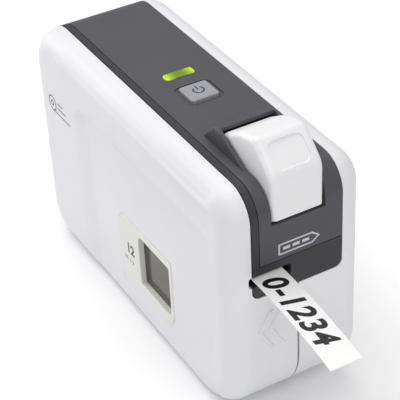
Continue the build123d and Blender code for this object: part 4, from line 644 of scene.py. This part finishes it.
def arc_points(cx, cy, radius, start, end, steps):
    turn = [math.radians(start + (end - start) * k / steps) for k in range(steps + 1)]
    return [(cx + radius * math.cos(a), cy + radius * math.sin(a)) for a in turn]


def cutter(name, points, faces):
    """Temporary closed mesh for a cut."""
    mesh = bpy.data.meshes.new(name)
    mesh.from_pydata([Vector(p) * MM for p in points], [], faces)
    work = bmesh.new()
    work.from_mesh(mesh)
    bmesh.ops.remove_doubles(work, verts=work.verts, dist=0.002 * MM)
    bmesh.ops.recalc_face_normals(work, faces=work.faces)
    work.to_mesh(mesh)
    work.free()
    made = bpy.data.objects.new(name, mesh)
    bpy.context.scene.collection.objects.link(made)
    return made


def settle(source):
    """Apply an object's modifiers and give back the plain mesh, removing the object."""
    graph = bpy.context.evaluated_depsgraph_get()
    mesh = bpy.data.meshes.new_from_object(source.evaluated_get(graph))
    old = source.data
    bpy.data.objects.remove(source)
    if isinstance(old, bpy.types.Mesh):
        bpy.data.meshes.remove(old)
    return mesh


HINGE_Y = BACK_Y + 1.0
HINGE_R = 2.2
KNUCKLE_L = 6.0
KNUCKLE_GAP = 0.3
HINGE_SPANS = ((20.0, 40.6), (HEIGHT - 42.5, HEIGHT - 21.9))
SLOT_X = (-19.5, -2.7)
SLOT_Z = (61.7, 66.3)
SLOT_CORNER_R = 1.0


def cassette_cover():
    shell = cutter("cover_surface", *cover_surface())
    wall = shell.modifiers.new("wall", "SOLIDIFY")
    wall.thickness = COVER_WALL * MM
    wall.offset = -1
    tools = []
    corner_r = SLOT_CORNER_R
    left, right = SLOT_X[0] + corner_r, SLOT_X[1] - corner_r
    bottom, top = SLOT_Z[0] + corner_r, SLOT_Z[1] - corner_r
    notch = []
    for x, z, start in ((left, bottom, 180), (right, bottom, 270), (right, top, 0), (left, top, 90)):
        notch += arc_points(x, z, corner_r, start, start + 90, 6)
    tools.append(cutter("slot_tool", *prism(notch, "y", FRONT_Y - 1, FRONT_Y + 4)))
    for low_z, high_z in HINGE_SPANS:
        for z0 in (low_z, high_z - KNUCKLE_L):
            circle = arc_points(-STRIP_X, HINGE_Y, HINGE_R + 0.4, 0, 352, 44)
            span = (z0 - KNUCKLE_GAP, z0 + KNUCKLE_L + KNUCKLE_GAP)
            tools.append(cutter("knuckle_tool", *prism(circle, "z", *span)))
    for tool in tools:
        cut = shell.modifiers.new("cut", "BOOLEAN")
        cut.operation = "DIFFERENCE"
        cut.object = tool
    mesh = settle(shell)
    for tool in tools:
        bpy.data.objects.remove(tool)
    white = MATERIALS["white_shell"]
    piece = finish_piece("cover_shell", mesh, white, "cover", 28.0)
    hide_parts("cassette_cover")


def hinge_barrels():
    """The cover's two knuckles, each with the web that carries it."""
    points = []
    faces = []
    for low_z, high_z in HINGE_SPANS:
        span = (low_z + KNUCKLE_L + KNUCKLE_GAP, high_z - KNUCKLE_L - KNUCKLE_GAP)
        outline = arc_points(-STRIP_X, HINGE_Y, HINGE_R, -150, 90, 30)
        web_x = -STRIP_X - HINGE_R - 0.6
        outline += [(web_x, HINGE_Y + 0.6), (web_x, BACK_Y - 1.5)]
        made, sides = prism(outline, "z", *span)
        start = len(points)
        points += made
        faces += [tuple(start + i for i in face) for face in sides]
    make_mesh("cover_knuckles", points, faces, MATERIALS["white_shell"], "cover")


CHEVRON_TIPS_X = (-15.6, -11.3)
CHEVRON_Z = 41.0
CHEVRON_H = 16.4
CHEVRON_REACH = 4.8
CHEVRON_W = 1.5
CHEVRON_PROUD = 0.7
CHEVRON_BEVEL = 0.45


def chevrons():
    """Two '<' ribs on the cover's front, with bevelled edges."""
    points = []
    faces = []
    half = CHEVRON_H / 2
    for tip in CHEVRON_TIPS_X:
        rows = []
        flank = CHEVRON_PROUD - CHEVRON_BEVEL
        for inset, out in ((0.0, -0.1), (0.0, flank), (CHEVRON_BEVEL, CHEVRON_PROUD)):
            w = CHEVRON_W / 2 - inset
            lean = math.atan2(CHEVRON_REACH, half)
            across = w / math.cos(lean)
            end = half - inset * 0.7
            reach = CHEVRON_REACH * end / half
            row = [
                (tip + reach + across, CHEVRON_Z + end), (tip + reach - across, CHEVRON_Z + end),
                (tip - across, CHEVRON_Z), (tip + reach - across, CHEVRON_Z - end),
                (tip + reach + across, CHEVRON_Z - end), (tip + across, CHEVRON_Z),
            ]
            rows.append([(x, FRONT_Y - out, z) for x, z in row])
        for below, above in zip(rows, rows[1:]):
            add_bands(points, faces, below, above)
        start = len(points)
        points += rows[-1]
        faces.append((start, start + 1, start + 2, start + 5))
        faces.append((start + 5, start + 2, start + 3, start + 4))
    white = MATERIALS["white_shell"]
    make_mesh("cover_chevrons", points, faces, white, "cover", 20.0)


def window_plate():
    """Warm white plate with softly bevelled edges round the pane, and the collar down to the glass."""
    points = []
    faces = []
    face_x = PLATE_LOW.x
    soft = 0.25
    bands = [
        [(PLATE_SEAT_X, *p) for p in plate_leaf(0)],
        [(face_x + soft, *p) for p in plate_leaf(0)],
        [(face_x, *p) for p in plate_leaf(-soft)],
    ]
    for near, far in zip(bands, bands[1:]):
        add_bands(points, faces, near, far)
    flat, triangles = fill_between(plate_leaf(-soft), [pane_leaf(soft)], 4.0)
    start = len(points)
    points += [(face_x, y, z) for y, z in flat]
    faces += [tuple(start + i for i in face) for face in triangles]
    glass_x = GLASS_LOW.x - 0.02
    bands = [
        [(face_x, *p) for p in pane_leaf(soft)],
        [(face_x + soft, *p) for p in pane_leaf(0)],
        [(glass_x, *p) for p in pane_leaf(0)],
        [(glass_x, *p) for p in pane_leaf(COLLAR_T)],
        [(PLATE_SEAT_X, *p) for p in pane_leaf(COLLAR_T)],
    ]
    for near, far in zip(bands, bands[1:]):
        add_bands(points, faces, near, far)
    flat, triangles = fill_between(plate_leaf(0), [pane_leaf(COLLAR_T)], 4.0)
    start = len(points)
    points += [(PLATE_SEAT_X, y, z) for y, z in flat]
    faces += [tuple(start + i for i in face) for face in triangles]
    warm = MATERIALS["plate_plastic"]
    piece = make_mesh("window_surround", points, faces, warm, "cover")
    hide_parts("window_plate")


# ---------------------------------------------------------------- printed marks
PRINT_T = 0.02      # thickness of a printed mark


def printed(name, text, size, place, material, body, bold=0.0, shear=0.0, spacing=1.0):
    """Flat print of a text; place(u, v, w) lays it, w being the height above the surface."""
    curve = bpy.data.curves.new(name, "FONT")
    curve.body = text
    curve.size = size
    curve.offset = bold
    curve.shear = shear
    curve.space_character = spacing
    curve.resolution_u = 6
    curve.fill_mode = "FRONT"
    holder = bpy.data.objects.new(name, curve)
    bpy.context.scene.collection.objects.link(holder)
    mesh = settle(holder)
    lay_print(name, mesh, place, material, body)


def lay_print(name, mesh, place, material, body, thickness=PRINT_T):
    """Give a flat mesh its thickness and lay it on the surface."""
    work = bmesh.new()
    work.from_mesh(mesh)
    bmesh.ops.triangulate(work, faces=work.faces)
    long_edges = [e for e in work.edges if e.calc_length() > 1.5]
    bmesh.ops.subdivide_edges(work, edges=long_edges, cuts=3)
    bmesh.ops.triangulate(work, faces=work.faces)
    top = bmesh.ops.extrude_face_region(work, geom=list(work.faces))
    for vert in [g for g in top["geom"] if isinstance(g, bmesh.types.BMVert)]:
        vert.co.z += thickness
    for vert in work.verts:
        vert.co = Vector(place(vert.co.x, vert.co.y, vert.co.z)) * MM
    work.to_mesh(mesh)
    work.free()
    finish_piece(name, mesh, material, body, 40.0)


LABEL_LOW, LABEL_HIGH = (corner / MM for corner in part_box("label_strip"))
LABEL_DROOP = LABEL_HIGH.z - LABEL_LOW.z - 0.2
LABEL_OUT = FRONT_Y - LABEL_LOW.y


def label_point(along, across, lift):
    """Point on the label: along from the casing, across from its middle, lifted off its face."""
    radius = (LABEL_OUT ** 2 + LABEL_DROOP ** 2) / (2 * LABEL_DROOP)
    angle = along / radius
    middle_x = (LABEL_LOW.x + LABEL_HIGH.x) / 2
    reach = radius + lift
    drop = reach * math.cos(angle)
    return (middle_x + across, FRONT_Y - reach * math.sin(angle), LABEL_HIGH.z - radius + drop)


def standby_symbol():
    """Broken ring with a bar through its gap, printed on the button."""
    low, high = (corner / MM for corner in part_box("power_button"))
    cx = (low.x + high.x) / 2
    cy = (low.y + high.y) / 2 + 0.3
    outer, inner = 2.3, 1.7
    ring = arc_points(0, 0, outer, 128, 412, 40)
    ring += list(reversed(arc_points(0, 0, inner, 128, 412, 40)))
    count = len(ring)
    bar = [(-0.28, 0.3), (0.28, 0.3), (0.28, 2.9), (-0.28, 2.9)]
    mesh = bpy.data.meshes.new("standby_symbol")
    faces = [(i, i + 1, count - 2 - i, count - 1 - i) for i in range(count // 2 - 1)]
    faces += [(count, count + 1, count + 2, count + 3)]
    mesh.from_pydata([(x, y, 0) for x, y in ring + bar], [], faces)

    def on_button(u, v, w):
        return (cx + u, cy + v, high.z + w)
    lay_print("standby_symbol", mesh, on_button, PRINTS["dark"], "button")


TAG_X = -7.6
TAG_Z = 71.3
TAG_L = 13.5
TAG_TIP = 3.0
TAG_H = 4.6
TAG_LINE_W = 0.6
TAG_BAR_L = 2.8
TAG_BAR_STARTS = (1.8, 5.6, 9.4)
TAG_BAR_Z = (1.7, 2.9)


def tag_symbol():
    """Outline of a plain tag with three bars, printed on the dark front in place of a name."""
    mesh = bpy.data.meshes.new("tag_symbol")
    near, far = TAG_LINE_W, TAG_H - TAG_LINE_W
    outer = [(0, 0), (TAG_L, 0), (TAG_L + TAG_TIP, TAG_H / 2), (TAG_L, TAG_H), (0, TAG_H)]
    inner = [(near, near), (TAG_L - 0.3, near), (TAG_L + TAG_TIP - 0.9, TAG_H / 2),
             (TAG_L - 0.3, far), (near, far)]
    points = outer + inner
    faces = [(i, (i + 1) % 5, 5 + (i + 1) % 5, 5 + i) for i in range(5)]
    low_v, high_v = TAG_BAR_Z
    for start in TAG_BAR_STARTS:
        end = start + TAG_BAR_L
        base = len(points)
        points += [(start, low_v), (end, low_v), (end, high_v), (start, high_v)]
        faces.append((base, base + 1, base + 2, base + 3))
    mesh.from_pydata([(x, y, 0) for x, y in points], [], faces)

    def on_front(u, v, w):
        return (TAG_X + u, FRONT_Y - w, TAG_Z + v)
    lay_print("tag_symbol", mesh, on_front, PRINTS["light"], "chassis")


MARK_Y = 60.0
MARK_Z = 68.0
MARK_RING_R = 3.4
MARK_CORE_R = 1.3
MARK_LINE_W = 0.5
MARK_TAIL_L = 15.0
MARK_STEPS = 45
MARK_SHORT_LINES = ((-0.6, 3.0), (1.6, 5.5))     # height, and how much shorter than the tail


def roll_symbol():
    """Line drawing of a tape roll with its tail, printed on the cover in place of a name."""
    points = []
    faces = []
    for outer in (MARK_RING_R, MARK_CORE_R):
        start = len(points)
        for radius in (outer, outer - MARK_LINE_W):
            points += arc_points(0, 0, radius, 0, 352, MARK_STEPS - 1)
        inner_start = start + MARK_STEPS
        for i in range(MARK_STEPS):
            j = (i + 1) % MARK_STEPS
            faces.append((start + i, start + j, inner_start + j, inner_start + i))
    bars = [(0.0, MARK_TAIL_L, -MARK_RING_R)]
    bars += [(MARK_RING_R + 1.4, MARK_TAIL_L - less, low_v) for low_v, less in MARK_SHORT_LINES]
    for left, reach, low_v in bars:
        start = len(points)
        high_v = low_v + MARK_LINE_W
        points += [(left, low_v), (reach, low_v), (reach, high_v), (left, high_v)]
        faces.append((start, start + 1, start + 2, start + 3))
    mesh = bpy.data.meshes.new("roll_symbol")
    mesh.from_pydata([(u, v, 0) for u, v in points], [], faces)

    def on_cover(u, v, w):
        y, z = MARK_Y - u, MARK_Z + v
        return (-SIDE_X + cover_sink(y, z) - w, y, z)
    lay_print("roll_symbol", mesh, on_cover, PRINTS["plate"], "cover", PRINT_ROOM)


def print_ink(name, colour, roughness):
    """Pad-printed ink: matt, with a slightly uneven film."""
    material, tree, shader = new_material(name)
    place = add(tree, "ShaderNodeTexCoord").outputs["Object"]
    film = add(tree, "ShaderNodeTexNoise", {"Scale": per_mm(0.4), "Detail": 2.0}, {"Vector": place})
    span = {"To Min": roughness - 0.1, "To Max": roughness + 0.1}
    gloss = add(tree, "ShaderNodeMapRange", span, {"Value": film.outputs["Fac"]})
    shader.inputs["Base Color"].default_value = srgb(colour)
    tree.links.new(gloss.outputs["Result"], shader.inputs["Roughness"])
    return material


PRINTS = {
    "dark": print_ink("charcoal_pad_print", "#2B2B30", 0.5),
    "light": print_ink("silver_grey_pad_print", "#C9CACD", 0.45),
    "black": print_ink("thermal_transfer_black", "#0B0B0C", 0.4),
    "plate": print_ink("grey_pad_print", "#3C3B38", 0.5),
}

LABEL_PRINT_START = 1.6      # from the casing to the first digit
LABEL_PRINT_BASE = 4.1       # from the label's middle line to the foot of the digits
WIDTH_MARK_Y = 4.2
WIDTH_MARK_Z = 29.8
WIDTH_LIST_Y = 6.4
WIDTH_LIST_Z = 25.4

cassette_cover()
hinge_barrels()
chevrons()
window_plate()
printed(
    "label_digits", "0-1234", 11.4,
    lambda u, v, w: label_point(LABEL_PRINT_START + u, v - LABEL_PRINT_BASE, w),
    PRINTS["black"], "chassis", bold=0.36, shear=0.25, spacing=1.1,
)
printed(
    "plate_width_mark", "12", 6.2,
    lambda u, v, w: (PLATE_LOW.x - w, WIDTH_MARK_Y - u, WIDTH_MARK_Z + v),
    PRINTS["plate"], "cover", bold=0.22,
)
printed(
    "plate_width_list", "3.5  6  9", 2.2,
    lambda u, v, w: (PLATE_LOW.x - w, WIDTH_LIST_Y - u, WIDTH_LIST_Z + v),
    PRINTS["plate"], "cover", bold=0.03,
)
standby_symbol()
tag_symbol()
roll_symbol()


# ---------------------------------------------------------------- stage, light and camera
def sheet_mesh(name, size, height, material):
    """Large level square, marked as stage."""
    mesh = bpy.data.meshes.new(name)
    half = size / 2
    corners = [(-half, -half), (half, -half), (half, half), (-half, half)]
    mesh.from_pydata([(x, y, height) for x, y in corners], [], [(0, 1, 2, 3)])
    floor = bpy.data.objects.new(name, mesh)
    bpy.context.scene.collection.objects.link(floor)
    mesh.materials.append(material)
    floor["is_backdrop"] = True
    return floor


def studio_floor():
    material, tree, shader = new_material("painted_studio_floor")
    place = add(tree, "ShaderNodeTexCoord").outputs["Object"]
    cloud = add(tree, "ShaderNodeTexNoise", {"Scale": 2.0, "Detail": 2.0}, {"Vector": place})
    tint = add(tree, "ShaderNodeMix", {"A": srgb("#FDFDFD"), "B": srgb("#FAFAFB")},
               {"Factor": cloud.outputs["Fac"]}, data_type="RGBA")
    tree.links.new(tint.outputs["Result"], shader.inputs["Base Color"])
    shader.inputs["Roughness"].default_value = 0.8
    return material


def soft_box(name, place, aim, size, power):
    """Square studio soft box pointed at the object."""
    light = bpy.data.lights.new(name, "AREA")
    light.shape = "RECTANGLE"
    light.size, light.size_y = size
    light.energy = power
    lamp = bpy.data.objects.new(name, light)
    bpy.context.scene.collection.objects.link(lamp)
    lamp.location = place
    lamp.rotation_mode = "QUATERNION"
    lamp.rotation_quaternion = (aim - place).to_track_quat("-Z", "Y")
    return lamp


CAMERA_PLACE = Vector((-208.3, -399.7, 369.4)) * MM
CAMERA_AZIMUTH = math.radians(28.016)
CAMERA_ELEVATION = math.radians(35.73)
CAMERA_ROLL = math.radians(-3.175)
CAMERA_LENS = 130.2


def studio_camera():
    forward = Vector((
        math.sin(CAMERA_AZIMUTH) * math.cos(CAMERA_ELEVATION),
        math.cos(CAMERA_AZIMUTH) * math.cos(CAMERA_ELEVATION),
        -math.sin(CAMERA_ELEVATION),
    ))
    level = Vector((math.cos(CAMERA_AZIMUTH), -math.sin(CAMERA_AZIMUTH), 0))
    right = Matrix.Rotation(-CAMERA_ROLL, 3, forward) @ level
    up = right.cross(forward)
    data = bpy.data.cameras.new("studio_camera")
    data.lens = CAMERA_LENS
    data.sensor_width = 36.0
    data.clip_end = 20.0
    camera = bpy.data.objects.new("studio_camera", data)
    bpy.context.scene.collection.objects.link(camera)
    camera.matrix_world = Matrix((
        (right.x, up.x, -forward.x, CAMERA_PLACE.x),
        (right.y, up.y, -forward.y, CAMERA_PLACE.y),
        (right.z, up.z, -forward.z, CAMERA_PLACE.z),
        (0, 0, 0, 1),
    ))
    bpy.context.scene.camera = camera


def studio_light():
    world = bpy.data.worlds.new("studio_surround")
    bpy.context.scene.world = world
    world.use_nodes = True
    surround = world.node_tree.nodes["Background"]
    surround.inputs["Color"].default_value = srgb("#FFFFFF")
    surround.inputs["Strength"].default_value = 0.43
    centre = Vector((0, 0, 0.05))
    soft_box("overhead_box", Vector((-0.05, 0.3, 0.95)), centre, (0.9, 0.9), 5.6)
    soft_box("key_box", Vector((-0.2, -0.85, 0.9)), centre, (1.1, 1.1), 5.0)
    soft_box("raking_box", Vector((-0.45, 0.95, 0.3)), centre, (0.5, 0.5), 2.6)


studio_camera()
studio_light()
sheet_mesh("studio_floor", 6.0, cad_low.z - 0.0002, studio_floor())
bpy.context.scene.view_settings.view_transform = "Standard"

low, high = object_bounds()
